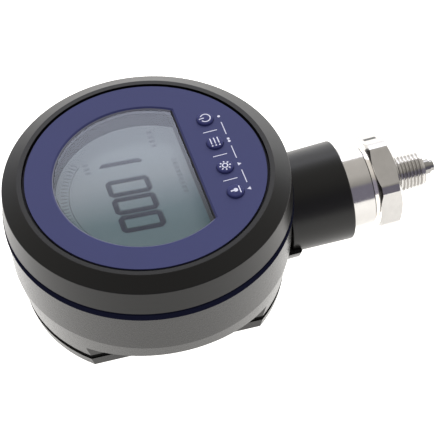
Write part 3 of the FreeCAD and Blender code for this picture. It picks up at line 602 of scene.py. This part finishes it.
def node_tree(name, **inputs):
    """A Geometry Nodes tree with the named inputs of each kind; returns it with a wire for each input."""
    group = bpy.data.node_groups.new(name, "GeometryNodeTree")
    for kind, labels in inputs.items():
        for label in labels:
            group.interface.new_socket(label, in_out="INPUT", socket_type="NodeSocket" + kind)
    group.interface.new_socket("Geometry", in_out="OUTPUT", socket_type="NodeSocketGeometry")
    tree = Tree(group)
    first = tree.add("NodeGroupInput")
    return tree, {label: first[label] for labels in inputs.values() for label in labels}


def end_tree(tree, shape, material):
    """Ends a tree in Realize Instances and Set Material."""
    whole = tree.add("GeometryNodeRealizeInstances", inputs={"Geometry": shape})
    painted = tree.add("GeometryNodeSetMaterial", inputs={"Geometry": whole, "Material": material})
    tree.add("NodeGroupOutput", inputs={0: painted}, output=None)


def grow(name, tree, values):
    """Runs a Geometry Nodes tree with the given values and returns the result as a plain mesh object."""
    piece = bpy.data.objects.new(name, bpy.data.meshes.new(name))
    bpy.context.scene.collection.objects.link(piece)
    modifier = piece.modifiers.new(name, "NODES")
    modifier.node_group = tree.tree
    for item in tree.tree.interface.items_tree:
        if item.in_out == "INPUT":
            modifier[item.identifier] = values[item.name]
    graph = bpy.context.evaluated_depsgraph_get()
    mesh = bpy.data.meshes.new_from_object(piece.evaluated_get(graph))
    piece.modifiers.clear()
    piece.data = mesh
    return piece


def plate_row_tree(material):
    """A row of equal thin plates."""
    tree, given = node_tree("plate_row", Int=["Count"], Vector=["Start", "Step", "Plate"])
    sockets = {"Count": given["Count"], "Start Location": given["Start"], "Offset": given["Step"]}
    row = tree.add("GeometryNodeMeshLine", inputs=sockets)
    plate = tree.add("GeometryNodeMeshCube", inputs={"Size": given["Plate"]})
    plates = tree.add("GeometryNodeInstanceOnPoints", inputs={"Points": row, "Instance": plate})
    end_tree(tree, plates, material)
    return tree


def mark_arc_tree(material):
    """Small plates along an arc, each pointing at its middle."""
    floats = ["Radius", "Start", "Sweep"]
    tree, given = node_tree("mark_arc", Int=["Count"], Float=floats, Vector=["Middle", "Plate"])
    sockets = {
        "Resolution": given["Count"],
        "Radius": given["Radius"],
        "Start Angle": given["Start"],
        "Sweep Angle": given["Sweep"],
    }
    arc = tree.add("GeometryNodeCurveArc", {"mode": "RADIUS"}, sockets)
    upright = tree.add("GeometryNodeSetCurveNormal", {"mode": "Z_UP"}, {"Curve": arc})
    sockets = {"Curve": upright, "Count": given["Count"]}
    points = tree.add("GeometryNodeCurveToPoints", {"mode": "COUNT"}, sockets)
    plate = tree.add("GeometryNodeMeshCube", inputs={"Size": given["Plate"]})
    sockets = {"Points": points, "Instance": plate, "Rotation": points["Rotation"]}
    marks = tree.add("GeometryNodeInstanceOnPoints", inputs=sockets)
    placed = tree.add("GeometryNodeTransform", inputs={"Geometry": marks, "Translation": given["Middle"]})
    end_tree(tree, placed, material)
    return tree


def thread_tree(material):
    """A ridge of trapezoid section along a helix about -Y that fades out at both ends."""
    floats = ["Turns", "Core", "Run", "Foot", "Crest", "Depth", "Sunk", "Tip"]
    tree, given = node_tree("thread", Int=["Points"], Float=floats, Vector=["Place"])
    sockets = {
        "Resolution": given["Points"],
        "Rotations": given["Turns"],
        "Start Radius": given["Core"],
        "End Radius": given["Core"],
        "Height": given["Run"],
    }
    helix = tree.add("GeometryNodeCurveSpiral", inputs=sockets)
    upright = tree.add("GeometryNodeSetCurveNormal", {"mode": "Z_UP"}, {"Curve": helix})
    corners = {
        "Point 1": tree.joined(given["Sunk"], -1.0 * given["Foot"]),
        "Point 2": tree.joined(-1.0 * given["Depth"], -1.0 * given["Crest"]),
        "Point 3": tree.joined(-1.0 * given["Depth"], given["Crest"]),
        "Point 4": tree.joined(given["Sunk"], given["Foot"]),
    }
    section = tree.add("GeometryNodeCurvePrimitiveQuadrilateral", {"mode": "POINTS"}, corners)
    along = tree.add("GeometryNodeSplineParameter") * given["Turns"]
    rise = tree.math("MINIMUM", along, given["Turns"] - along, clamp=True)
    share = given["Tip"] + (1.0 - given["Tip"]) * rise
    sockets = {"Curve": upright, "Profile Curve": section, "Scale": share, "Fill Caps": True}
    ridge = tree.add("GeometryNodeCurveToMesh", inputs=sockets)
    sockets = {"Geometry": ridge, "Translation": given["Place"], "Rotation": (math.radians(90), 0.0, 0.0)}
    end_tree(tree, tree.add("GeometryNodeTransform", inputs=sockets), material)
    return tree


def stem_core(thread):
    """A welded copy of the stem whose threaded part is cut down to the thread's core."""
    bm = bmesh.new()
    bm.from_mesh(frame["nodes"]["process_stem"].data)
    bmesh.ops.remove_doubles(bm, verts=bm.verts, dist=0.001 * MM)
    bm.verts.index_update()
    core = thread.radius - thread.depth
    end = stem_tip + thread.start + thread.run + thread.blunt
    for vert in bm.verts:
        offset = Vector((vert.co.x, vert.co.z - stem_axis_height))
        if offset.length > core and vert.co.y < end:
            offset *= core / offset.length
            vert.co.x = offset.x
            vert.co.z = stem_axis_height + offset.y
    mesh = bpy.data.meshes.new("stem_core")
    mesh.from_pydata([v.co for v in bm.verts], [], [[v.index for v in f.verts] for f in bm.faces])
    bm.free()
    return mesh


def add_plate(bm, outline, top, thickness, sunk):
    """Adds a closed plate with the given outline of (x, y) points, its upper side just above top(x, y)."""
    upper = [bm.verts.new((x, y, top(x, y) + thickness)) for x, y in outline]
    lower = [bm.verts.new((x, y, top(x, y) - sunk)) for x, y in outline]
    bm.faces.new(upper)
    bm.faces.new(lower[::-1])
    count = len(outline)
    for i in range(count):
        j = (i + 1) % count
        bm.faces.new((upper[j], upper[i], lower[i], lower[j]))


def add_stroke(bm, path, width, top, thickness, sunk):
    """Adds a closed stroke of constant width along a path of (x, y) points."""
    points = [Vector(p) for p in path]
    left = []
    right = []
    for i, point in enumerate(points):
        ahead = points[min(i + 1, len(points) - 1)] - points[max(i - 1, 0)]
        aside = Vector((-ahead.y, ahead.x)).normalized() * width / 2
        left.append(point + aside)
        right.append(point - aside)
    for i in range(len(points) - 1):
        outline = [left[i], right[i], right[i + 1], left[i + 1]]
        add_plate(bm, [(p.x, p.y) for p in outline], top, thickness, sunk)


def round_path(middle, radius, start, sweep, steps):
    """Points on an arc, in degrees."""
    turns = [math.radians(start + sweep * i / steps) for i in range(steps + 1)]
    return [(middle[0] + radius * math.cos(t), middle[1] + radius * math.sin(t)) for t in turns]


def close_points(path, step=0.25):
    """The same path with points at most one step apart."""
    points = [tuple(path[0])]
    for (x0, y0), (x1, y1) in zip(path, path[1:]):
        count = max(1, math.ceil(math.hypot(x1 - x0, y1 - y0) / step))
        points += [(x0 + (x1 - x0) * i / count, y0 + (y1 - y0) * i / count) for i in range(1, count + 1)]
    return points


def disc(middle, radius, steps=20):
    """Outline of a disc."""
    return round_path(middle, radius, 0.0, 360.0, steps)[:-1]


class GAUGE_OT_case(Operator):
    """Gives the outer case, seals, pane and neck their finishes"""

    bl_idname = "gauge.case"
    bl_label = "Case finishes"

    def execute(self, context):
        tones = context.scene.gauge_finishes
        rubber = (0.002, 0.002, 0.002)
        painted = {"level": 0.42, "mottle": 0.4}
        satin = {"cloud": 12 * MM, "drift": 0.05, "level": 0.15}
        give_coats((
            ("bezel_black", tones.bezel, 0.32, 0.30, 0.010, {"level": 0.28}, ["front_bezel"]),
            ("case_grey", tones.case, 0.26, 0.70, 0.050, painted, ["rear_case", "rear_cover"]),
            ("seal_blue", tones.seal, 0.60, 0.25, 0.006, {"level": 0.0}, ["seal_ring"]),
            ("neck_black", tones.neck, 0.34, 0.35, 0.012, {"level": 0.27}, ["neck_sleeve"]),
            ("gasket_rubber", rubber, 0.70, 0.20, 0.020, {"level": 0.05}, ["cover_gasket", "stem_oring"]),
            ("foil_blue", tones.foil, 0.50, 0.16, 0.006, satin, ["keypad_foil"]),
            ("key_blue", tones.key, 0.42, 0.16, 0.006, {"level": 0.12}, KEYS),
        ))
        give(plated("screw_plated", (0.55, 0.55, 0.56), 0.30), "cover_screws", "case_screws")
        places = (tones.painted_shade_border, tones.painted_shade_flat)
        give(plate_with_painted_shade("panel_grey", tones.panel, tones.panel_painted_shade, *places), "front_panel")
        give(clear_pane("pane_clear"), "window_pane")
        return {"FINISHED"}


class GAUGE_OT_inside(Operator):
    """Gives the pieces inside the case their finishes"""

    bl_idname = "gauge.inside"
    bl_label = "Inside finishes"

    def execute(self, context):
        tones = context.scene.gauge_finishes
        moulded = ["controller_chip", "buffer_capacitors", "lead_connector"]
        moulded += ["key_board_header", "contact_strip"]
        contacts = ["battery_contacts", "battery_pins", "battery_springs"]
        small_screws = ["board_screws", "key_board_screws", "stop_pin"]
        give_coats((
            ("frame_grey", tones.frame, 0.55, 0.30, 0.010, {"drift": 0.05}, ["lcd_frame"]),
            ("guide_milky", (0.80, 0.80, 0.77), 0.35, 0.30, 0.004, {"drift": 0.03}, ["backlight_panel"]),
            ("moulded_black", (0.018, 0.018, 0.019), 0.45, 0.25, 0.012, {}, moulded),
            ("cell_wrap", (0.30, 0.31, 0.33), 0.38, 1.20, 0.010, {}, ["battery_1", "battery_2", "battery_3"]),
            ("lead_rubber", (0.020, 0.020, 0.020), 0.60, 0.20, 0.010, {}, ["sensor_lead", "sensor_seal"]),
            ("bearing_plastic", (0.62, 0.60, 0.54), 0.50, 0.30, 0.010, {}, ["thrust_washer"]),
        ))
        for name, tone, roughness, nodes in (
            ("contact_plated", (0.72, 0.60, 0.36), 0.30, contacts),
            ("dome_plated", (0.62, 0.61, 0.58), 0.25, ["key_domes", "sensor_pins", "retaining_ring"]),
            ("small_screw_plated", (0.50, 0.50, 0.52), 0.35, small_screws),
        ):
            give(plated(name, tone, roughness), *nodes)
        board = circuit_board("board_green", (0.020, 0.120, 0.045))
        give(board, "main_board", "key_board", "sensor_board")
        give(turned_steel("sensor_steel", (0.56, 0.55, 0.53)), "sensor_capsule", "sensor_nut")
        give(display_glass("display_glass", tones.glass, tones.near_backlight_and_painted_fill, tones.far_backlight_and_painted_glare), "lcd_glass")
        return {"FINISHED"}


class GAUGE_OT_stem(Operator):
    """Cuts the pipe thread and gives the stem its turned steel"""

    bl_idname = "gauge.stem"
    bl_label = "Process stem"

    def execute(self, context):
        thread = context.scene.gauge_thread
        steel = turned_steel("stem_steel", context.scene.gauge_finishes.steel, context.scene.gauge_steel)
        ridge = grow("thread_ridge", thread_tree(steel), {
            "Points": thread.turn_points,
            "Turns": thread.run / thread.pitch,
            "Core": thread.radius - thread.depth,
            "Run": thread.run,
            "Foot": thread.pitch / 2,
            "Crest": thread.crest * thread.pitch,
            "Depth": thread.depth,
            "Sunk": thread.sunk,
            "Tip": thread.tip,
            "Place": (0.0, stem_tip + thread.start + thread.run, stem_axis_height),
        })
        bm = bmesh.new()
        bm.from_mesh(stem_core(thread))
        bm.from_mesh(ridge.data)
        bpy.data.objects.remove(ridge)
        for face in bm.faces:
            face.smooth = True
            face.material_index = 0
        stem = new_piece("threaded_stem", bm, steel)
        stem.data.set_sharp_from_angle(angle=thread.smooth)
        keep(stem, "stem", "stem_steel", "process_stem")
        return {"FINISHED"}


class GAUGE_OT_print(Operator):
    """Prints the dashes, lines and dots on the keypad foil"""

    bl_idname = "gauge.print"
    bl_label = "Keypad print"

    def execute(self, context):
        sizes = context.scene.gauge_print
        ink = printed("foil_ink", context.scene.gauge_finishes.ink)
        first = centre(KEYS[0])
        step = centre(KEYS[1]).x - first.x
        height = foil_top + (sizes.thickness - sizes.sunk) / 2
        deep = sizes.thickness + sizes.sunk
        rows = plate_row_tree(ink)
        for name, drop, plate in (
            ("key_fences", 0.0, (sizes.line, sizes.fence)),
            ("mark_dashes", sizes.mark_drop, (sizes.dash, sizes.line)),
        ):
            row = grow(name, rows, {
                "Count": len(KEYS) - 1,
                "Start": (first.x + step / 2, first.y - drop, height),
                "Step": (step, 0.0, 0.0),
                "Plate": (*plate, deep),
            })
            keep(row, "case", "foil_blue")
        keep(self.dots(sizes, ink), "case", "foil_blue")
        return {"FINISHED"}

    def dots(self, sizes, ink):
        """The small dots and triangles in line with the dashes."""
        bm = bmesh.new()
        light, settings, menu, power = [(centre(key).x, centre(key).y - sizes.mark_drop) for key in KEYS]
        spread = sizes.dot_spread
        down, up = -90.0, 90.0
        outlines = [
            disc(place, sizes.dot, 14)
            for place in (power, (menu[0] - spread, menu[1]), (menu[0] + spread, menu[1]))
        ]
        outlines += [
            round_path(place, sizes.triangle, tip, 240.0, 2)
            for place, tip in ((settings, down), (light, up))
        ]
        for outline in outlines:
            add_plate(bm, outline, lambda x, y: foil_top, sizes.thickness, sizes.sunk)
        return new_piece("mark_dots", bm, ink)


class GAUGE_OT_symbols(Operator):
    """Prints the power, list, gear and lamp symbols on the keys"""

    bl_idname = "gauge.symbols"
    bl_label = "Key symbols"

    def execute(self, context):
        sizes = context.scene.gauge_print
        ink = printed("key_ink", context.scene.gauge_finishes.ink)
        drawings = (self.lamp, self.gear, self.listing, self.power)
        for key, draw in zip(KEYS, drawings):
            bm = bmesh.new()
            mesh = frame["nodes"][key].data
            self.middle = centre(key)
            corners = [vertex.co for vertex in mesh.vertices]
            self.cap = BVHTree.FromPolygons(corners, [face.vertices for face in mesh.polygons])
            draw(bm, sizes)
            bmesh.ops.triangulate(bm, faces=bm.faces)
            keep(new_piece(key.replace("key", "symbol"), bm, ink), key, "key_blue")
        return {"FINISHED"}

    def top(self, x, y):
        """Height of the key's cap."""
        hit = self.cap.ray_cast(Vector((x, y, 1.0)), Vector((0.0, 0.0, -1.0)))[0]
        if hit is None:
            raise RuntimeError("a symbol reaches beyond its key")
        return hit.z

    def stroke(self, bm, sizes, path, width=None):
        """A stroke given in millimetres about the key's middle."""
        placed = [(self.middle.x + x * MM, self.middle.y + y * MM) for x, y in close_points(path)]
        add_stroke(bm, placed, width or sizes.symbol_line, self.top, sizes.thickness, sizes.sunk)

    def blot(self, bm, sizes, x, y, radius):
        """A filled disc given in millimetres about the key's middle."""
        outline = disc((self.middle.x + x * MM, self.middle.y + y * MM), radius * MM)
        add_plate(bm, outline, self.top, sizes.thickness, sizes.sunk)

    def power(self, bm, sizes):
        """A ring with a gap and a bar in the gap."""
        self.stroke(bm, sizes, round_path((0.0, -0.1), 1.75, 122.0, 296.0, 36))
        self.stroke(bm, sizes, [(0.0, 0.4), (0.0, 2.2)])

    def listing(self, bm, sizes):
        """Three lines, each with a bullet."""
        for row in (1.35, 0.05, -1.25):
            self.stroke(bm, sizes, [(-1.0, row), (1.85, row)])
            self.blot(bm, sizes, -1.75, row, 0.30)

    def gear(self, bm, sizes):
        """A ring with eight teeth."""
        self.stroke(bm, sizes, round_path((0.0, 0.0), 0.90, 0.0, 360.0, 24), 0.42 * MM)
        teeth = 8
        for tooth in range(teeth):
            turn = math.tau * tooth / teeth
            ray = Vector((math.cos(turn), math.sin(turn)))
            self.stroke(bm, sizes, [tuple(ray * 1.40), tuple(ray * 2.05)], 0.50 * MM)

    def lamp(self, bm, sizes):
        """A lamp over a line."""
        self.blot(bm, sizes, 0.0, -0.1, 0.80)
        self.stroke(bm, sizes, [(0.0, 0.5), (0.0, 1.7)], 0.62 * MM)
        self.stroke(bm, sizes, [(-1.6, -1.55), (1.6, -1.55)])


class GAUGE_OT_display(Operator):
    """Draws the digits, their shadows and the small marks on the display"""

    bl_idname = "gauge.display"
    bl_label = "Display"

    SEGMENTS = {
        "0": "abcdef", "1": "bc", "2": "abdeg", "3": "abcdg", "4": "bcfg",
        "5": "acdfg", "6": "acdefg", "7": "abc", "8": "abcdefg", "9": "abcdfg",
    }
    # Rows of small marks: name, count, first place, step and size of a mark in millimetres
    LETTER_ROWS = (
        ("letters_low", 9, -4.0, -12.9, 1.9, (1.2, 1.7)),
        ("letters_right", 4, 19.8, -8.2, 2.2, (1.3, 2.0)),
        ("letters_left", 3, 14.6, 17.3, 2.0, (1.3, 2.0)),
    )

    def execute(self, context):
        sizes = context.scene.gauge_display
        tone = context.scene.gauge_finishes.segment
        layers = (
            ("segments_shadow", sizes.shadow, sizes.shadow_step, 0),
            ("segments_driven", sizes.driven, 0.0, 1),
        )
        for name, cover, shift, level in layers:
            piece = self.digits(name, sizes, shift, level, cover_ink(name, tone, cover, sizes.fade))
            keep(piece, "case", "display_grey")
        faint = cover_ink("small_marks", tone, sizes.faint)
        mark_base = display_top + sizes.thickness
        marks = grow("scale_marks", mark_arc_tree(faint), {
            "Count": sizes.scale_marks,
            "Radius": sizes.scale_radius,
            "Start": sizes.scale_start,
            "Sweep": sizes.scale_sweep,
            "Middle": (0.0, sizes.scale_offset, mark_base),
            "Plate": (sizes.mark_long, sizes.thickness, sizes.mark_wide),
        })
        keep(marks, "case", "display_grey")
        arc = self.scale_arc(sizes, mark_base, cover_ink("scale_arc", tone, sizes.edge_cover))
        keep(arc, "case", "display_grey")
        rows = plate_row_tree(faint)
        for name, count, x, y, step, plate in self.LETTER_ROWS:
            row = grow(name, rows, {
                "Count": count,
                "Start": (x * MM, y * MM, mark_base),
                "Step": (step * MM, 0.0, 0.0),
                "Plate": (plate[0] * MM, plate[1] * MM, sizes.thickness),
            })
            keep(row, "case", "display_grey")
        return {"FINISHED"}

    def scale_arc(self, sizes, height, ink):
        """A thin arc along the inner ends of the small marks."""
        bm = bmesh.new()
        start, sweep = math.degrees(sizes.scale_start), math.degrees(sizes.scale_sweep)
        steps = 48

        def side(shift):
            radius = sizes.scale_radius - sizes.edge_drop + shift
            return round_path((0.0, sizes.scale_offset), radius, start, sweep, steps)

        outline = side(sizes.edge_line / 2) + side(-sizes.edge_line / 2)[::-1]
        add_plate(bm, outline, lambda x, y: height, sizes.thickness, 0.0)
        return new_piece("scale_arc", bm, ink)

    def digits(self, name, sizes, shift, level, ink):
        """All segments of the reading as thin plates on the display."""
        bm = bmesh.new()
        height = display_top + (2 * level + 1) * sizes.thickness
        for place, digit in enumerate(sizes.reading):
            for letter in self.SEGMENTS[digit]:
                outline = [self.lean(sizes, place, shift, p) for p in self.segment(sizes, letter)]
                add_plate(bm, outline, lambda x, y: height, sizes.thickness, 0.0)
        return new_piece(name, bm, ink)

    def lean(self, sizes, place, shift, point):
        """Moves a point of a digit to its leaning place on the display."""
        x, y = point
        lean = (y - sizes.height / 2) * math.tan(sizes.slant)
        return (sizes.left + place * sizes.pitch + x + lean + shift, sizes.foot + y - shift)

    def segment(self, sizes, letter):
        """Outline of one of the seven segments; the uprights fill the corners."""
        thick, wide, high = sizes.stroke, sizes.width, sizes.height
        cut = sizes.corner
        middle = high / 2
        across = [(thick, 0.0), (wide - thick, 0.0), (wide - thick, thick), (thick, thick)]
        upright = [(cut, 0.0), (0.0, cut), (0.0, middle), (thick, middle), (thick, 0.0)]
        bar = [(thick, middle - thick / 2), (wide - thick, middle - thick / 2)]
        outlines = {
            "a": [(x, high - y) for x, y in across],
            "b": [(wide - x, high - y) for x, y in upright],
            "c": [(wide - x, y) for x, y in upright],
            "d": across,
            "e": upright,
            "f": [(x, high - y) for x, y in upright],
            "g": bar + [(x, y + thick) for x, y in bar[::-1]],
        }
        return outlines[letter]


class GAUGE_OT_stage(Operator):
    """Sets the light table, the soft boxes and the camera"""

    bl_idname = "gauge.stage"
    bl_label = "Stage"

    def execute(self, context):
        self.floor(context.scene)
        self.sky(context.scene)
        self.camera(context.scene)
        context.scene.view_settings.view_transform = "Standard"
        return {"FINISHED"}

    def floor(self, scene):
        """A pale table that glows a little."""
        stage = scene.gauge_stage
        material, tree = new_finish("light_table")
        cloud = 0.4
        haze = tree.noise(cloud)
        tree.surface({
            "Base Color": tree.blend(haze, shade(stage.floor_colour, 0.99), shade(stage.floor_colour, 1.01)),
            "Roughness": 0.9,
            "Specular IOR Level": 0.0,
            "Emission Color": shade(stage.floor_tone),
            "Emission Strength": stage.floor_glow,
        })
        bm = bmesh.new()
        bmesh.ops.create_grid(bm, x_segments=1, y_segments=1, size=stage.floor_side / 2)
        gap = 0.02 * MM
        bmesh.ops.translate(bm, verts=bm.verts, vec=(0.0, 0.0, cad_box[0].z - gap))
        new_piece("light_table", bm, material)

    def sky(self, scene):
        """Soft boxes as bands of light across the line of sight."""
        stage = scene.gauge_stage
        world = bpy.data.worlds.new("soft_boxes")
        world.use_nodes = True
        world.node_tree.nodes.clear()
        scene.world = world
        tree = Tree(world.node_tree)
        heading = scene.gauge_view.heading
        look = tree.add("ShaderNodeTexCoord", output="Generated")
        ahead = self.along(tree, look, (math.cos(heading), math.sin(heading), 0.0))
        left = self.along(tree, look, (-math.sin(heading), math.cos(heading), 0.0))
        up = tree.parts(look)[2]
        turn = tree.math("ARCTAN2", up, 0.0 - ahead) / math.pi
        aside = tree.math("ARCTAN2", left, ahead) / math.pi
        bright = stage.far_light
        roof, front, beside = (
            scaled(tone, 1 / bright) for tone in (stage.roof_colour, stage.front_colour, stage.aside_colour)
        )
        dim_roof, bright_roof = scaled(roof, 0.6), scaled(roof, 1.1)
        box = tuple(stage.far_colour)
        low = scaled(box, stage.far_low)
        # Turns of the bands, from behind the camera over the top, as shares of a half circle
        front_end, roof_start, roof_full = 0.26, 0.30, 0.44
        edge = 1.0 - stage.far_edge / math.pi
        bend = 1.0 - stage.far_bend / math.pi
        edge_soft, bend_soft = 0.006, 0.02
        edge_start, edge_end = edge - edge_soft, edge + edge_soft
        bands = tree.add("ShaderNodeValToRGB", {"stops": [
            (0.0, front), (front_end, front), (roof_start, dim_roof), (roof_full, roof),
            (edge_start, bright_roof), (edge_end, beside),
        ]}, {0: turn})
        far_box = tree.add("ShaderNodeValToRGB", {"stops": [
            (0.0, roof), (edge_start, bright_roof), (edge_end, box), (bend, box), (bend + bend_soft, low),
        ]}, {0: turn})
        high_part = self.reach(tree, aside, stage.far_right, stage.far_left)
        low_part = self.reach(tree, aside, stage.low_right, stage.far_left)
        wide = high_part + (turn > bend) * (low_part - high_part)
        bands = tree.blend((turn > edge_start) * wide, bands, far_box)
        right_part = self.reach(tree, aside, stage.low_right, -stage.right_start)
        right_tone = (stage.right_light / bright,) * 3
        bands = tree.blend((turn > bend) * right_part, bands, right_tone)
        seen = tree.add("ShaderNodeLightPath", output="Is Camera Ray")
        glow = tree.add("ShaderNodeBackground", inputs={"Color": bands, "Strength": bright})
        plain = tree.add("ShaderNodeBackground", inputs={"Color": (1.0, 1.0, 1.0, 1.0), "Strength": 1.0})
        sky = tree.add("ShaderNodeMixShader", inputs={0: seen, 1: glow, 2: plain})
        tree.add("ShaderNodeOutputWorld", inputs={"Surface": sky}, output=None)

    def reach(self, tree, aside, right, left):
        """One inside a span of headings and nought outside it, with soft ends."""
        right_end = 0.5 - right / math.tau
        left_end = 0.5 + left / math.tau
        right_soft, left_inside, left_outside = 0.02, 0.04, 0.06
        black, white = (0.0, 0.0, 0.0), (1.0, 1.0, 1.0)
        ramp = tree.add("ShaderNodeValToRGB", {"stops": [
            (right_end - right_soft, black), (right_end + right_soft, white),
            (left_end - left_inside, white), (left_end + left_outside, black),
        ]}, {0: 0.5 + 0.5 * aside})
        return tree.add("ShaderNodeRGBToBW", inputs={0: ramp})

    def along(self, tree, look, way):
        """How far a direction points along another."""
        sockets = {0: look, 1: way}
        return tree.add("ShaderNodeVectorMath", {"operation": "DOT_PRODUCT"}, sockets, output="Value")

    def camera(self, scene):
        """The camera, from its heading, elevation, roll and slide."""
        view = scene.gauge_view
        flat = -math.cos(view.elevation)
        back = Vector((
            math.cos(view.heading) * flat,
            math.sin(view.heading) * flat,
            math.sin(view.elevation),
        ))
        right = (-back).cross(Vector((0.0, 0.0, 1.0))).normalized()
        up = right.cross(-back)
        turned_right = math.cos(view.roll) * right + math.sin(view.roll) * up
        turned_up = -math.sin(view.roll) * right + math.cos(view.roll) * up
        spot = Vector((0.0, 0.0, view.aim_height)) + back * view.distance
        spot += view.slide_right * turned_right + view.slide_up * turned_up
        data = bpy.data.cameras.new("camera")
        data.lens = view.lens
        data.sensor_width = SENSOR_WIDTH
        data.clip_start, data.clip_end = 0.01, 50.0
        camera = bpy.data.objects.new("camera", data)
        columns = Matrix((turned_right, turned_up, back)).transposed().to_4x4()
        camera.matrix_world = Matrix.Translation(spot) @ columns
        scene.collection.objects.link(camera)
        scene.camera = camera


class GAUGE_PT_looks(Panel):
    """Lists the steps and their sizes"""

    bl_label = "Pressure gauge"
    bl_idname = "GAUGE_PT_looks"
    bl_space_type = "VIEW_3D"
    bl_region_type = "UI"
    bl_category = "Gauge"

    def draw(self, context):
        for step in STEPS:
            self.layout.operator(step.bl_idname)
        for name, group in GROUPS.items():
            box = self.layout.box()
            for label in group.__annotations__:
                box.prop(getattr(context.scene, name), label)


GROUPS = {
    "gauge_view": GaugeView,
    "gauge_stage": GaugeStage,
    "gauge_finishes": GaugeFinishes,
    "gauge_thread": GaugeThread,
    "gauge_steel": GaugeSteel,
    "gauge_print": GaugePrint,
    "gauge_display": GaugeDisplay,
}
STEPS = (
    GAUGE_OT_case, GAUGE_OT_inside, GAUGE_OT_stem, GAUGE_OT_print,
    GAUGE_OT_symbols, GAUGE_OT_display, GAUGE_OT_stage,
)
CLASSES = (*GROUPS.values(), *STEPS, GAUGE_PT_looks)


def register():
    for entry in CLASSES:
        bpy.utils.register_class(entry)
    for name, group in GROUPS.items():
        setattr(bpy.types.Scene, name, PointerProperty(type=group))


def unregister():
    for name in GROUPS:
        delattr(bpy.types.Scene, name)
    for entry in reversed(CLASSES):
        bpy.utils.unregister_class(entry)


def main():
    register()
    bpy.ops.gauge.case()
    bpy.ops.gauge.inside()
    bpy.ops.gauge.stem()
    bpy.ops.gauge.print()
    bpy.ops.gauge.symbols()
    bpy.ops.gauge.display()
    bpy.ops.gauge.stage()


if __name__ == "__main__":
    main()
